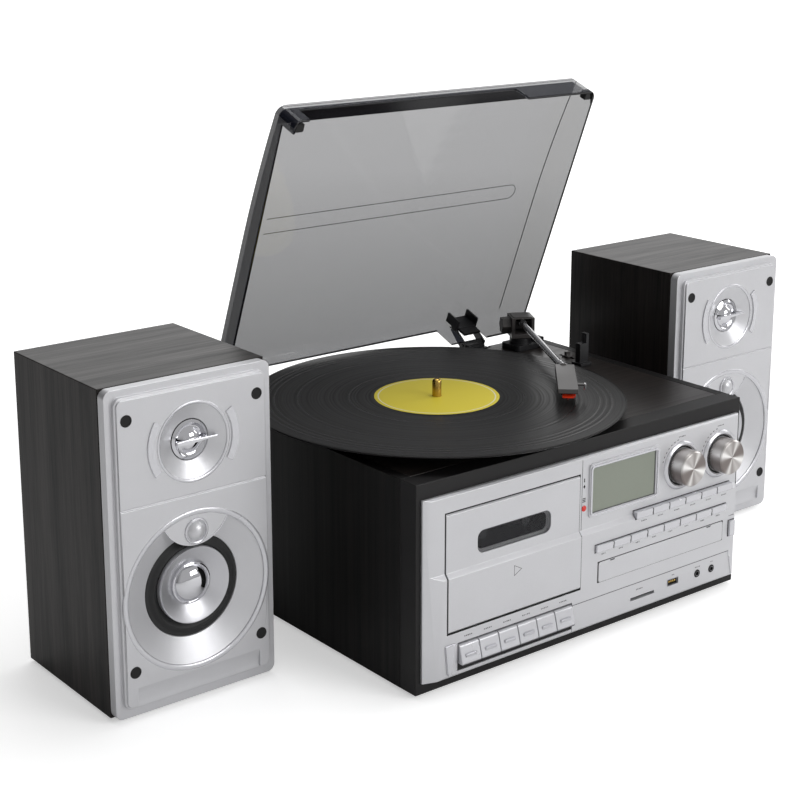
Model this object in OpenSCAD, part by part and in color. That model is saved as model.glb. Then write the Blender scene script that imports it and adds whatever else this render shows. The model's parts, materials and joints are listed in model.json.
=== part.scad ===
// Stereo music centre with record player, cassette deck, disc tray and two loudspeakers.
// Millimetres. X runs to the right, Y to the back, Z up. The origin is on the table,
// under the middle of the main unit. The dust cover stands open.

/* [Main unit] */
// Width of the main unit
cab_w = 343; // [341:1:370]
// Depth of the main unit, without its knobs
cab_d = 250; // [248:1:280]
// Height of the wooden body above its feet
cab_h = 161; // [160:1:185]
// Thickness of the case boards
board = 9; // [7:0.5:10]
// Depth of the front frame, from front to back
frame_d = 18; // [16:0.5:22]
// Thickness of the deck board
deck_t = 12; // [11:0.5:13]
// Height of the rubber feet
foot_h = 3; // [2:0.5:8]

/* [Front panel] */
// How far the upper half of the silver panel stands in front of the frame
panel_t = 4; // [3:0.25:5]
// How far the lower half stands in front of the upper half
step_t = 3; // [2:0.25:4]
// Width of the cassette door, on a front panel 334 mm wide
door_w = 133; // [128:1:134]
// Height of the cassette door
door_h = 91.5; // [88:0.5:92]
// Diameter of the two knobs
knob_d = 29; // [24:0.5:30]
// Length of the two knobs
knob_l = 13; // [9:0.5:16]
// Width of the disc tray's front, on a front panel 334 mm wide
tray_w = 144; // [140:0.5:146]
// Height of the disc tray's front
tray_h = 16.5; // [15:0.5:17]

/* [Record player] */
// Diameter of the record
record_d = 301; // [298:0.5:302]
// Thickness of the record
record_t = 1.8; // [1.5:0.1:2.2]
// Height of the record's underside above the deck
record_lift = 11.2; // [10.5:0.1:11.5]
// Diameter of the platter
platter_d = 200; // [190:2:206]
// Diameter of the spindle
spindle_d = 7.1; // [6.8:0.1:7.2]
// Distance from the record's centre to the stylus, as the arm is shown
play_r = 104.5; // [90:0.5:115]
// Diameter of the arm tube
tube_d = 5.5; // [4:0.5:6]

/* [Dust cover] */
// Height of the cover's skirt
cover_h = 34; // [33:1:37]
// Thickness of the cover's walls
cover_t = 2.4; // [2:0.1:3]
// Angle at which the cover stands open
open_angle = 68.5; // [60:0.5:72]

/* [Loudspeakers] */
// Width of each loudspeaker
spk_w = 134; // [130:1:150]
// Depth of its wooden case
spk_d = 124; // [100:1:160]
// Height of its case
spk_h = 241; // [238:1:260]
// Outer diameter of the woofer's flare
flare_d = 122; // [118:1:123]
// Diameter of the tweeter's dish
dish_d = 60; // [54:1:62]

/* [Hidden] */
$fn = 64;
KEY_NAMES = ["record", "play", "rewind", "forward", "stop", "pause"];
N_SOURCE = 6;
N_FUNCTION = 8;

// Fits
run_gap = 0.05;
slide_gap = 0.3;
eps = 0.01;

// Main unit
deck_z = foot_h + cab_h;
front_y = -cab_d / 2;
back_y = cab_d / 2;
inner_w = cab_w - 2 * board;
floor_z = foot_h + board;
foot_in = 24;
foot_hole_r = 2.2;
foot_hole_d = 6;
deck_under = deck_z - deck_t;

// Silver front panel: its edges and the planes of its two halves
pan_w = cab_w - 9;
face_scale = pan_w / 334;
pan_z0 = foot_h + 9;
pan_z1 = deck_z - deck_t;
pan_left = -pan_w / 2;
pan_right = pan_w / 2;
upper_y = front_y - panel_t;
lower_y = upper_y - step_t;
crease_z = pan_z0 + 81;
crease_h = 3.5;
bevel_w = [15, 4];
bevel_edge = 2;

// Cassette door and keys, placed from the panel's left edge
door_width = door_w * face_scale;
door_x = pan_left + 19.5 * face_scale + door_width / 2;
door_z0 = pan_z0 + 34.8;
door_gap = 0.5;
window_w = 73;
window_h = 18;
window_z = pan_z0 + 97.6;
door_pin_y = lower_y + 2.2;
door_pin_z = door_z0 + 1.6;
door_pin_r = 1.2;
hub_pitch = 42.5;
bay_d = 24;
key_pitch = 19 * face_scale;
key_gap = 0.6;
key_z0 = pan_z0 + 9.2;
key_h = 15.5;
key_left = pan_left + 30 * face_scale;
key_pin_y = front_y + 27;
key_pin_z = key_z0 + 13;
key_pin_r = 1.5;
key_slot_z0 = pan_z0 + 3.8;
key_slot_z1 = key_z0 + key_h + 1;

// Controls, placed from the panel's right edge
lcd_w = 69.5 * face_scale;
lcd_h = 36.5;
lcd_x = pan_right - 134.4 * face_scale;
lcd_z = pan_z0 + 111.2;
dial_r = 18.7;
dial_z = pan_z0 + 110.2;
tune_x = pan_right - 68.9 * face_scale;
vol_x = pan_right - 22.9 * face_scale;
shaft_r = 3;
knob_y = upper_y - 1.2;
button_h = 6.4;
button_pitch = 18.85 * face_scale;
button_gap = 0.25;
source_right = pan_right - 9.3 * face_scale;
source_z = pan_z0 + 80.5;
function_right = pan_right - 15.7 * face_scale;
function_z = pan_z0 + 63.6;
button_out = 2.2;
button_back = front_y + 6;
tray_width = tray_w * face_scale;
tray_x = pan_right - 18.8 * face_scale - tray_width / 2;
tray_z = pan_z0 + 43.4;
eject_x = pan_right - 8.3;
eject_w = 7;
eject_h = 14;
lamp_x = lcd_x - 42.5 * face_scale;
lamp_z = pan_z0 + 98.5;

// Front sockets
card_x = pan_right - 111.6 * face_scale;
usb_x = pan_right - 76.5 * face_scale;
jack_x = [pan_right - 47.4 * face_scale, pan_right - 30.2 * face_scale];
socket_z = pan_z0 + 12.6;
card_w = 27;

// Rear sockets
rear_jack_x = [inner_w / 2 - 92.5, inner_w / 2 - 74.5];
rear_jack_z = floor_z + 31;
inlet_x = inner_w / 2 - 36.5;
main_term_z = floor_z + 40;

// Record player
rec_x = -49;
rec_y = 0;
rec_z = deck_z + record_lift;
rec_top = rec_z + record_t;
well_r = platter_d / 2 + 3;
well_d = 6;
ring_r = platter_d / 2 - 35;
ring_t = 3;
bush_r = 8;
pulley_r = 8;
pulley_dist = platter_d / 2 - 18;
pulley_a = 135;
pulley_x = rec_x + pulley_dist * cos(pulley_a);
pulley_y = rec_y + pulley_dist * sin(pulley_a);
belt_z = deck_z - 2;

// Arm: the pivot keeps its distance from the deck's back right corner
piv_x = cab_w / 2 - 36;
piv_y = back_y - 22;
arm_z = deck_z + 24;
mount_dist = norm([piv_x - rec_x, piv_y - rec_y]);
arm_len = mount_dist + 5;
play_phi = acos((pow(arm_len, 2) + pow(mount_dist, 2) - pow(play_r, 2)) / (2 * arm_len * mount_dist));
arm_dir = 180 + atan2(piv_y - rec_y, piv_x - rec_x) + play_phi;
shell_angle = 12;
shell_len = 58;
tube_len = sqrt(pow(arm_len, 2) - pow(shell_len * sin(shell_angle), 2)) - shell_len * cos(shell_angle);
tube_dir = arm_dir + atan2(shell_len * sin(shell_angle), tube_len + shell_len * cos(shell_angle));
yaw_r = 3;
trunnion_r = 1.5;
rest_dist = 77;
rest_dir = 270.5;
rest_x = piv_x + rest_dist * cos(rest_dir);
rest_y = piv_y + rest_dist * sin(rest_dir);
lever_x = piv_x + 11;
lever_y = piv_y - 50;
hover = 2.6;

// Dust cover, in the pose in which it lies closed
cov_w = cab_w - 29;
cov_y0 = front_y + 2.3;
cov_y1 = back_y + 1;
cov_z0 = deck_z + 0.5;
cov_z1 = cov_z0 + cover_h;
cov_r = 8;
skirt_cut = 17;
rear_cut = 23;
notch_h = 24;
hinge_y = back_y + 6;
hinge_z = deck_z + 3;
hinge_pin_r = 1.5;
hinge_x = [-cov_w / 2 + 12, cov_w / 2 - 55];
leaf_w = [14, 24];
leaf_t = 2;
leaf_d = 9;
leaf_back = cov_y1 - cover_t - 1.2;
leaf_low = rec_top + 3;

// Loudspeakers: the middle of each case's front edge
spk_x = [-(cab_w / 2 + 54.3 + spk_w / 2), cab_w / 2 + 32.9 + spk_w / 2];
spk_y = [front_y + 107.4, front_y + 111.4];
baf_t = 8;
raise_t = 4.5;
baf_r = 6;
tw_z = spk_h - 47;
wf_z = 84;
groove_z = 155.5;
dome_dz = 44;
peg_r = 3.2;
peg_dx = spk_w / 2 - 14.5;
peg_z = [35.5, spk_h - 22];
throat_r = 38;
throat_d = 9;
woofer_rim_r = throat_r + 5;
woofer_magnet_r = throat_r - 4;
woofer_back = 44;
tweeter_r = 15;
tweeter_rim_r = 21;
tweeter_back = 18;
terminal_z = 50;
terminal_w = 52;
terminal_h = 34;

// ---------------------------------------------------------------- helpers

// A rectangle with round corners, centred
module rounded_rect(w, d, r) {
  square([w - 2 * r, d], center = true);
  square([w, d - 2 * r], center = true);
  for (x = [-1, 1], y = [-1, 1]) translate([x * (w / 2 - r), y * (d / 2 - r)]) circle(r = r);
}

// A box with round upright edges, centred in X and Y
module rounded_box(w, d, h, r) {
  linear_extrude(height = h) rounded_rect(w, d, r);
}

// Turns a flat shape to face the front; it reaches from y_front back to y_back
module facing(y_front, y_back) {
  translate([0, y_back, 0]) rotate([90, 0, 0]) linear_extrude(height = y_back - y_front) children();
}

// A cylinder along Y, from y_front back to y_back
module rod_y(x, z, r, y_front, y_back) {
  translate([x, y_back, z]) rotate([90, 0, 0]) cylinder(r = r, h = y_back - y_front);
}

// A cylinder along X
module rod_x(x0, x1, y, z, r) {
  translate([x0, y, z]) rotate([0, 90, 0]) cylinder(r = r, h = x1 - x0);
}

// A box given by its two corners
module box(a, b) {
  translate(a) cube(b - a);
}

// A side profile in Y and Z, drawn out along X
module profile_x(x0, x1, points) {
  translate([x0, 0, 0]) rotate([90, 0, 90]) linear_extrude(height = x1 - x0) polygon(points);
}

// ---------------------------------------------------------------- main unit

// Two sides and the floor, with cleats that carry the deck
module cabinet() {
  color([0.07, 0.06, 0.06]) {
    difference() {
      box([-cab_w / 2, front_y + frame_d, foot_h], [cab_w / 2, back_y, floor_z]);
      foot_screw_holes();
    }
    for (s = [-1, 1]) {
      x0 = s > 0 ? cab_w / 2 - board : -cab_w / 2;
      box([x0, front_y + frame_d, floor_z - eps], [x0 + board, back_y, deck_z]);
      c0 = s > 0 ? inner_w / 2 - 7 : -inner_w / 2 - eps;
      box([c0, front_y + frame_d + 12, deck_under - 10], [c0 + 7 + eps, back_y - 8, deck_under - 0.05]);
    }
  }
}

// The black frame around the silver panel
module front_frame() {
  win_w = pan_w - 8;
  color([0.07, 0.06, 0.06])
    difference() {
      box([-cab_w / 2, front_y, foot_h], [cab_w / 2, front_y + frame_d - 0.05, deck_z]);
      box([-win_w / 2, front_y - 1, pan_z0 + 1.6], [win_w / 2, front_y + frame_d + 1, pan_z1 - 1.6]);
      platter_well();
    }
}

// The round well that the platter sinks into
module platter_well() {
  translate([rec_x, rec_y, deck_z - well_d]) cylinder(r = well_r, h = well_d + 1, $fn = 128);
}

// The deck board, with the platter's well and bearing
module deck() {
  color([0.10, 0.09, 0.09])
    difference() {
      union() {
        box([-inner_w / 2 + 0.15, front_y + frame_d, deck_under], [inner_w / 2 - 0.15, back_y, deck_z]);
        translate([rec_x, rec_y, deck_z - 18]) cylinder(r = bush_r, h = 18 - well_d);
      }
      difference() {
        platter_well();
        translate([rec_x, rec_y, deck_z - well_d - 1]) cylinder(r = bush_r, h = 1 + 2);
      }
      translate([rec_x, rec_y, deck_z - 20]) cylinder(r = spindle_d / 2 + run_gap, h = 20);
      translate([pulley_x, pulley_y, deck_under - 1]) cylinder(r = 12, h = deck_t);
      box([lever_x - 1.6, lever_y - 9, deck_under - 1], [lever_x + 1.6, lever_y + 9, deck_z + 1]);
      for (i = [0, 1]) {
        w = leaf_w[i] / 2 + 1.5;
        box([hinge_x[i] - w, back_y - 5, deck_z - 5], [hinge_x[i] + w, back_y + 1, deck_z + 1]);
      }
    }
}

// The back panel, with air slots and holes for the rear sockets
module rear_cover() {
  h = deck_under - floor_z;
  color([0.05, 0.05, 0.05])
    difference() {
      box([-inner_w / 2 + 0.2, back_y - 4, floor_z + 0.05], [inner_w / 2 - 0.2, back_y, deck_under - 0.05]);
      for (i = [0:9])
        box([-inner_w / 2 + 30 + i * 9, back_y - 5, floor_z + h * 0.55],
            [-inner_w / 2 + 34 + i * 9, back_y + 1, floor_z + h * 0.85]);
      for (x = rear_jack_x) rod_y(x, rear_jack_z, 4.8, back_y - 5, back_y + 1);
      rod_y(inlet_x, rear_jack_z, 5.3, back_y - 5, back_y + 1);
      box([-terminal_w / 2 + 6.7, back_y - 5, main_term_z - terminal_h / 2 + 6.7],
          [terminal_w / 2 - 6.7, back_y + 1, main_term_z + terminal_h / 2 - 6.7]);
    }
}

// Places a shape at each of the main unit's feet
module at_feet() {
  for (x = [-1, 1], y = [-1, 1]) translate([x * (cab_w / 2 - foot_in), y * (cab_d / 2 - foot_in), 0]) children();
}

// The holes for the screws that hold the feet, up into the floor board
module foot_screw_holes() {
  at_feet() translate([0, 0, -1]) cylinder(r = foot_hole_r, h = 1 + foot_h + foot_hole_d);
}

// Rubber feet: four under the main unit and four under each loudspeaker
module feet() {
  color([0.03, 0.03, 0.03]) {
    difference() {
      at_feet() cylinder(r = 9, h = foot_h);
      foot_screw_holes();
    }
    for (i = [0, 1], x = [-1, 1], y = [0, 1])
      translate([spk_x[i] + x * (spk_w / 2 - 16), spk_y[i] + 16 + y * (spk_d - 32), 0])
        cylinder(r = 6, h = foot_h);
  }
}

// ---------------------------------------------------------------- front panel

// The silver panel's section: an upper half, a slanting crease and a lower half in front
function panel_profile(y_back, y_upper, y_lower, z0, z1) = [
  [y_back, z0], [y_lower + 1.5, z0], [y_lower, z0 + 1.5], [y_lower, crease_z - crease_h],
  [y_upper, crease_z], [y_upper, z1 - 1.5], [y_upper + 1.5, z1], [y_back, z1]];

// Holes for one row of buttons
module row_hole(right, z, count) {
  w = count * button_pitch + 0.3;
  box([right - w, lower_y - 5, z - button_h / 2 - slide_gap],
      [right + slide_gap, front_y + 2, z + button_h / 2 + slide_gap]);
}

// The ring that a knob stands in
module dial_ring(x) {
  difference() {
    rod_y(x, dial_z, dial_r, upper_y - 1.2, upper_y + eps);
    rod_y(x, dial_z, dial_r - 2.4, upper_y - 2, upper_y + 1);
  }
}

module fascia() {
  color([0.78, 0.78, 0.80])
    difference() {
      union() {
        profile_x(pan_left, pan_right, panel_profile(front_y, upper_y, lower_y, pan_z0, pan_z1));
        for (x = [tune_x, vol_x]) dial_ring(x);
        translate([lcd_x + 1, 0, lcd_z])
          facing(upper_y - 1.4, upper_y + eps) rounded_rect(lcd_w + 8, lcd_h + 7, 3);
      }
      // Slanting left and right ends
      for (i = [0, 1], s = 2 * i - 1)
        translate([s * pan_w / 2, front_y - bevel_edge, pan_z0 - 1])
          rotate([0, 0, s * atan((front_y - bevel_edge - lower_y) / bevel_w[i])]) mirror([1 - i, 0, 0])
            translate([-40, -20, 0]) cube([60, 20, pan_z1 - pan_z0 + 2]);
      // Cassette door
      box([door_x - door_width / 2 - door_gap, lower_y - 1, door_z0 - 0.8],
          [door_x + door_width / 2 + door_gap, front_y + 1, door_z0 + door_h + door_gap]);
      rod_x(door_x - door_width / 2 - 3.5, door_x + door_width / 2 + 3.5,
            door_pin_y, door_pin_z, door_pin_r + run_gap);
      // Tape keys
      box([key_left - 0.8, lower_y - 1, key_slot_z0],
          [key_left + 6 * key_pitch + 0.2, front_y + 1, key_slot_z1]);
      // Display, lamp and knob shafts
      translate([lcd_x, 0, lcd_z]) facing(upper_y - 3, front_y + 1) square([lcd_w, lcd_h], center = true);
      rod_y(lamp_x, lamp_z, 2.3, upper_y - 1, upper_y + 2);
      for (x = [tune_x, vol_x]) {
        rod_y(x, dial_z, shaft_r + 0.3, upper_y - 3, front_y + 1);
        difference() {
          rod_y(x, dial_z, dial_r - 2.4, upper_y - 2, upper_y + 1.5);
          rod_y(x, dial_z, dial_r - 3.9, upper_y - 3, upper_y + 2);
        }
      }
      row_hole(source_right, source_z, N_SOURCE);
      row_hole(function_right, function_z, N_FUNCTION);
      // Disc tray and its button
      box([tray_x - tray_width / 2 - 0.4, lower_y - 1, tray_z - tray_h / 2 - 0.4],
          [tray_x + tray_width / 2 + 0.4, front_y + 1, tray_z + tray_h / 2 + 0.4]);
      box([eject_x - eject_w / 2 - 0.3, lower_y - 5, tray_z - eject_h / 2 - 0.3],
          [eject_x + eject_w / 2 + 0.3, front_y + 1, tray_z + eject_h / 2 + 0.3]);
      // Card slot, memory-stick socket and two jacks
      box([card_x - card_w / 2, lower_y - 1, socket_z - 3.6], [card_x + card_w / 2, front_y + 1, socket_z - 1]);
      box([usb_x - 6.5, lower_y - 1, socket_z - 2.3], [usb_x + 6.5, front_y + 1, socket_z + 3.5]);
      for (x = jack_x) rod_y(x, socket_z, 3.3, lower_y - 1, front_y + 1);
    }
}

module display_panel() {
  color([0.52, 0.55, 0.49])
    translate([lcd_x, 0, lcd_z])
      facing(upper_y - 0.4, front_y + 3) square([lcd_w - 0.2, lcd_h - 0.2], center = true);
}

// ---------------------------------------------------------------- cassette deck

// The door with the pocket that holds the cassette behind it
module cassette_door() {
  x0 = door_x - door_width / 2;
  x1 = door_x + door_width / 2;
  ledge_z = window_z - 36;
  color([0.80, 0.80, 0.82])
    difference() {
      union() {
        profile_x(x0, x1, panel_profile(upper_y + 3, upper_y - 0.6, lower_y - 0.6, door_z0, door_z0 + door_h));
        for (x = [door_x - 54, door_x + 51.5])
          box([x, upper_y + 2, ledge_z - 3], [x + 2.5, front_y + 12, ledge_z + 50]);
        box([door_x - 54, upper_y + 2, ledge_z - 3], [door_x + 54, front_y + 12, ledge_z]);
        rod_x(x0 - 3, x1 + 3, door_pin_y, door_pin_z, door_pin_r);
      }
      translate([door_x, 0, window_z])
        facing(lower_y - 2, upper_y + 2.2) rounded_rect(window_w, window_h, 6);
      translate([door_x, 0, window_z])
        facing(upper_y + 1.4, upper_y + 4) rounded_rect(window_w - 4, window_h - 4, 5);
    }
}

module cassette_window() {
  color([0.15, 0.15, 0.17, 0.6])
    translate([door_x, 0, window_z])
      facing(upper_y - 0.2, upper_y + 2.15) rounded_rect(window_w - 0.2, window_h - 0.2, 5.9);
}

// The bay behind the door, the tape heads and the shaft that the keys turn on
module cassette_deck() {
  x0 = door_x - door_width / 2 - 6;
  x1 = door_x + door_width / 2 + 6;
  z0 = door_z0 - 4;
  z1 = door_z0 + door_h + 4;
  y1 = front_y + bay_d + 10;
  color([0.12, 0.12, 0.13])
    union() {
      difference() {
        box([x0, front_y + 0.1, z0], [x1, y1, z1]);
        box([x0 + 4, front_y - 1, z0 + 3], [x1 - 4, front_y + bay_d, z1 - 3]);
      }
      for (s = [-1, 1]) rod_y(door_x + s * hub_pitch / 2, window_z, 1.5, front_y + 9, front_y + bay_d + 1);
      // Head bridge
      box([door_x - 24, front_y + bay_d - 9, window_z - 52], [door_x + 24, front_y + bay_d + 1, window_z - 42]);
      // Brackets and shaft for the keys
      for (x = [key_left - 5, key_left + 6 * key_pitch + 1.4])
        box([x, key_pin_y - 5, key_pin_z - 5], [x + 3, key_pin_y + 5, z0 + 1]);
      rod_x(key_left - 5, key_left + 6 * key_pitch + 4, key_pin_y, key_pin_z, key_pin_r);
    }
}

// A drive hub with three splines, on its post
module tape_hub(x) {
  color([0.85, 0.85, 0.82])
    translate([x, front_y + bay_d - 0.5, window_z]) rotate([90, 0, 0])
      difference() {
        union() {
          cylinder(r = 4, h = 16.5);
          cylinder(r = 9, h = 2);
          for (a = [0:120:240]) rotate([0, 0, a]) translate([0, -0.7, 0]) cube([5.2, 1.4, 14]);
        }
        translate([0, 0, -1]) cylinder(r = 1.5 + run_gap, h = 16.8);
      }
}

module supply_hub() { tape_hub(door_x - hub_pitch / 2); }
module take_up_hub() { tape_hub(door_x + hub_pitch / 2); }

// One piano key; index 0 is on the left
module tape_key(index) {
  x0 = key_left + index * key_pitch;
  w = key_pitch - key_gap;
  z1 = key_z0 + key_h;
  y_in = front_y + 4;
  color([0.80, 0.80, 0.82])
    difference() {
      union() {
        profile_x(x0, x0 + w, [[lower_y - 4.5, key_z0], [lower_y - 5, key_z0 + 1.5], [lower_y - 1.5, z1 - 1.5],
          [lower_y, z1 - 0.4], [y_in, z1 - 0.4], [y_in, key_z0]]);
        box([x0 + w / 2 - 3, y_in - 1, key_pin_z - 3], [x0 + w / 2 + 3, key_pin_y, key_pin_z + 3]);
        rod_x(x0 + w / 2 - 3, x0 + w / 2 + 3, key_pin_y, key_pin_z, 3);
      }
      rod_x(x0 + w / 2 - 4, x0 + w / 2 + 4, key_pin_y, key_pin_z, key_pin_r + run_gap);
    }
}

// ---------------------------------------------------------------- disc player and controls

// The tray: a front, and a plate with a round bed for the disc
module cd_tray() {
  plate_w = tray_width - 8;
  plate_z = tray_z - 3;
  color([0.72, 0.72, 0.74])
    union() {
      box([tray_x - tray_width / 2, lower_y - 0.6, tray_z - tray_h / 2],
          [tray_x + tray_width / 2, lower_y + 3.4, tray_z + tray_h / 2]);
      difference() {
        box([tray_x - plate_w / 2, lower_y + 3, plate_z - 3],
            [tray_x + plate_w / 2, front_y + 143, plate_z + 3]);
        translate([tray_x, front_y + 68, plate_z + 1]) cylinder(r = 60.5, h = 6, $fn = 128);
        translate([tray_x, front_y + 68, plate_z - 6]) cylinder(r = 18, h = 12);
        box([tray_x - 16, front_y + 68, plate_z - 6], [tray_x + 16, front_y + 144, plate_z + 6]);
      }
    }
}

// The disc drive's case: a slim tunnel that is open at the front
module cd_drive() {
  w = tray_width + 8;
  z0 = tray_z - tray_h / 2 - 4;
  z1 = tray_z + tray_h / 2 + 2;
  color([0.45, 0.46, 0.48])
    difference() {
      box([tray_x - w / 2, front_y + 0.05, z0], [tray_x + w / 2, front_y + 172, z1]);
      difference() {
        box([tray_x - w / 2 + 3, front_y - 1, z0 + 4], [tray_x + w / 2 - 3, front_y + 168, z1 - 1.5]);
        // Runners that the plate slides on
        for (s = [-1, 1])
          box([tray_x + s * (w / 2 - 5.5) - 3, front_y + 5, z0],
              [tray_x + s * (w / 2 - 5.5) + 3, front_y + 168, tray_z - 6.3]);
      }
    }
}

// A push button; x is its middle
module button(x, z, w, h, y_front) {
  color([0.80, 0.80, 0.82])
    union() {
      translate([x, 0, z]) facing(y_front, button_back) rounded_rect(w, h, 0.8);
      translate([x, 0, z]) facing(button_back - 1.5, button_back) square([w - 3, h + 2.4], center = true);
    }
}

module source_button(i) {
  button(source_right - (N_SOURCE - i + 0.5) * button_pitch, source_z,
         button_pitch - button_gap, button_h, lower_y - button_out + 0.8);
}

module function_button(i) {
  button(function_right - (N_FUNCTION - i + 0.5) * button_pitch, function_z,
         button_pitch - button_gap, button_h, lower_y - button_out);
}

module tray_button() {
  button(eject_x, tray_z, eject_w, eject_h, lower_y - button_out);
}

// A turned knob on its shaft
module knob(x) {
  color([0.80, 0.79, 0.78])
    translate([x, knob_y, dial_z]) rotate([90, 0, 0])
      rotate_extrude($fn = 96) polygon([
        [0, -12], [shaft_r, -12], [shaft_r, -0.2], [knob_d / 2 - 0.8, -0.2], [knob_d / 2, 0.6],
        [knob_d / 2, knob_l - 1.2], [knob_d / 2 - 1.2, knob_l], [0, knob_l - 0.6]]);
}

module tuning_knob() { knob(tune_x); }
module volume_knob() { knob(vol_x); }

// The board behind the sockets, and the control board that carries the knobs' bearings
module front_sockets() {
  color([0.10, 0.28, 0.16]) {
    difference() {
      union() {
        box([card_x - 20, front_y + 9, socket_z - 8], [jack_x[1] + 12, front_y + 10.6, socket_z + 8]);
        box([usb_x - 6.3, lower_y + 1, socket_z - 2.05], [usb_x + 6.3, front_y + 9.5, socket_z + 3.25]);
        box([card_x - 16, front_y + 1, socket_z - 5], [card_x + 16, front_y + 9.5, socket_z + 1]);
        for (x = jack_x) rod_y(x, socket_z, 3, lower_y - 0.4, front_y + 9.5);
      }
      box([usb_x - 5.7, lower_y, socket_z - 1.7], [usb_x + 5.7, front_y + 6, socket_z + 2.9]);
      box([card_x - 12.5, front_y, socket_z - 3.4], [card_x + 12.5, front_y + 8, socket_z - 1.2]);
      for (x = jack_x) rod_y(x, socket_z, 1.8, lower_y - 1, front_y + 8);
    }
    difference() {
      union() {
        box([lamp_x + 4, front_y + 12, function_z - 7], [vol_x + 15, front_y + 13.6, dial_z + 18]);
        for (x = [tune_x, vol_x]) rod_y(x, dial_z, 8, front_y + 0.05, front_y + 12.1);
      }
      for (x = [tune_x, vol_x]) rod_y(x, dial_z, shaft_r + run_gap, front_y - 1, front_y + 9.5);
    }
  }
}

// Main circuit board on four posts, with the rear jacks and the power inlet
module main_board() {
  bx0 = 8;
  bx1 = inner_w / 2 - 14;
  by0 = front_y + 40;
  by1 = back_y - 7;
  bz = floor_z + 18;
  color([0.10, 0.30, 0.16]) {
    box([bx0, by0, bz], [bx1, by1, bz + 1.6]);
    for (x = [bx0 + 6, bx1 - 6], y = [by0 + 6, by1 - 6])
      translate([x, y, floor_z]) cylinder(r = 3, h = bz - floor_z + eps);
    for (x = rear_jack_x) {
      box([x - 6, by1 - 12, bz], [x + 6, by1, rear_jack_z + 6]);
      difference() {
        rod_y(x, rear_jack_z, 4.4, by1 - 1, back_y + 7);
        rod_y(x, rear_jack_z, 1.6, by1 + 1, back_y + 8);
      }
    }
    box([inlet_x - 7, by1 - 14, bz], [inlet_x + 7, by1, rear_jack_z + 7]);
    difference() {
      rod_y(inlet_x, rear_jack_z, 5, by1 - 1, back_y + 1);
      rod_y(inlet_x, rear_jack_z, 3.2, by1 + 1, back_y + 2);
    }
    // Coil, capacitors and a heat sink
    box([bx0 + 14, by1 - 66, bz], [bx0 + 44, by1 - 42, bz + 22]);
    for (i = [0:2]) translate([bx0 + 60 + i * 14, by1 - 44, bz]) cylinder(r = 5, h = 20);
    for (i = [0:4]) box([bx0 + 20 + i * 5, by1 - 30, bz], [bx0 + 22 + i * 5, by1 - 12, bz + 20]);
  }
}

// ---------------------------------------------------------------- record player

module platter() {
  top = rec_z;
  color([0.13, 0.13, 0.14])
    translate([rec_x, rec_y, 0])
      rotate_extrude($fn = 128) polygon([
        [0, deck_z - 17], [spindle_d / 2, deck_z - 17], [spindle_d / 2, deck_z - 3.8], [11, deck_z - 3.8],
        [11, top - 3], [ring_r - ring_t, top - 3], [ring_r - ring_t, deck_z - 3], [ring_r, deck_z - 3],
        [ring_r, top - 3], [platter_d / 2 - 3, top - 3], [platter_d / 2 - 3, deck_z - 3],
        [platter_d / 2, deck_z - 3], [platter_d / 2, top - 0.8], [platter_d / 2 - 0.8, top],
        [spindle_d / 2, top], [spindle_d / 2, top + 13.5],
        [spindle_d / 2 - 1.8, top + 15.5], [0, top + 16]]);
}

module record() {
  r = record_d / 2;
  color([0.04, 0.04, 0.045])
    translate([rec_x, rec_y, rec_z])
      rotate_extrude($fn = 128) polygon([
        [spindle_d / 2 + 0.07, 0.02], [r - 0.9, 0.02], [r, record_t / 2], [r - 0.9, record_t],
        [r - 3, record_t - 0.35], [52, record_t - 0.35], [51, record_t], [spindle_d / 2 + 0.07, record_t]]);
}

module drive_motor() {
  color([0.6, 0.6, 0.62])
    translate([pulley_x, pulley_y, 0])
      difference() {
        union() {
          translate([0, 0, deck_under - 24]) cylinder(r = 17, h = 22);
          translate([0, 0, deck_under - 2]) rounded_box(44, 44, 2, 5);
          translate([0, 0, deck_under - 1]) cylinder(r = 4, h = 5);
        }
        translate([0, 0, deck_under - 20]) cylinder(r = 1 + run_gap, h = 40);
      }
}

// The pulley on the motor's shaft
module motor_pulley() {
  color([0.75, 0.62, 0.30])
    translate([pulley_x, pulley_y, 0])
      union() {
        translate([0, 0, deck_under - 18]) cylinder(r = 1, h = deck_t + 17);
        difference() {
          translate([0, 0, belt_z - 3]) cylinder(r = pulley_r + 0.8, h = 8);
          translate([0, 0, belt_z - 1.7]) difference() {
            cylinder(r = pulley_r + 2, h = 5.4);
            translate([0, 0, -1]) cylinder(r = pulley_r, h = 8);
          }
        }
      }
}

// The flat belt around the platter's inner ring and the pulley
module drive_belt() {
  module loop(extra) {
    hull() {
      translate([rec_x, rec_y]) circle(r = ring_r + extra, $fn = 96);
      translate([pulley_x, pulley_y]) circle(r = pulley_r + extra, $fn = 96);
    }
  }
  color([0.02, 0.02, 0.02])
    translate([0, 0, belt_z - 1]) linear_extrude(height = 4)
      difference() {
        loop(0.9);
        loop(0.1);
      }
}

// Places a shape at the pivot, with X along the tube
module at_arm(angle) {
  translate([piv_x, piv_y, 0]) rotate([0, 0, angle]) children();
}

// The fixed foot of the arm, with the bearing that the arm turns in
module tonearm_base() {
  color([0.10, 0.10, 0.11])
    difference() {
      union() {
        translate([piv_x, piv_y, deck_z]) rounded_box(28, 24, 5, 4);
        translate([piv_x, piv_y, deck_z]) cylinder(r = 10, h = 10.5);
        box([piv_x + 13, piv_y - 14, deck_z], [piv_x + 16, piv_y + 10, deck_z + 10.4]);
      }
      translate([piv_x, piv_y, deck_z + 1]) cylinder(r = yaw_r + run_gap, h = 12);
    }
}

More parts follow.
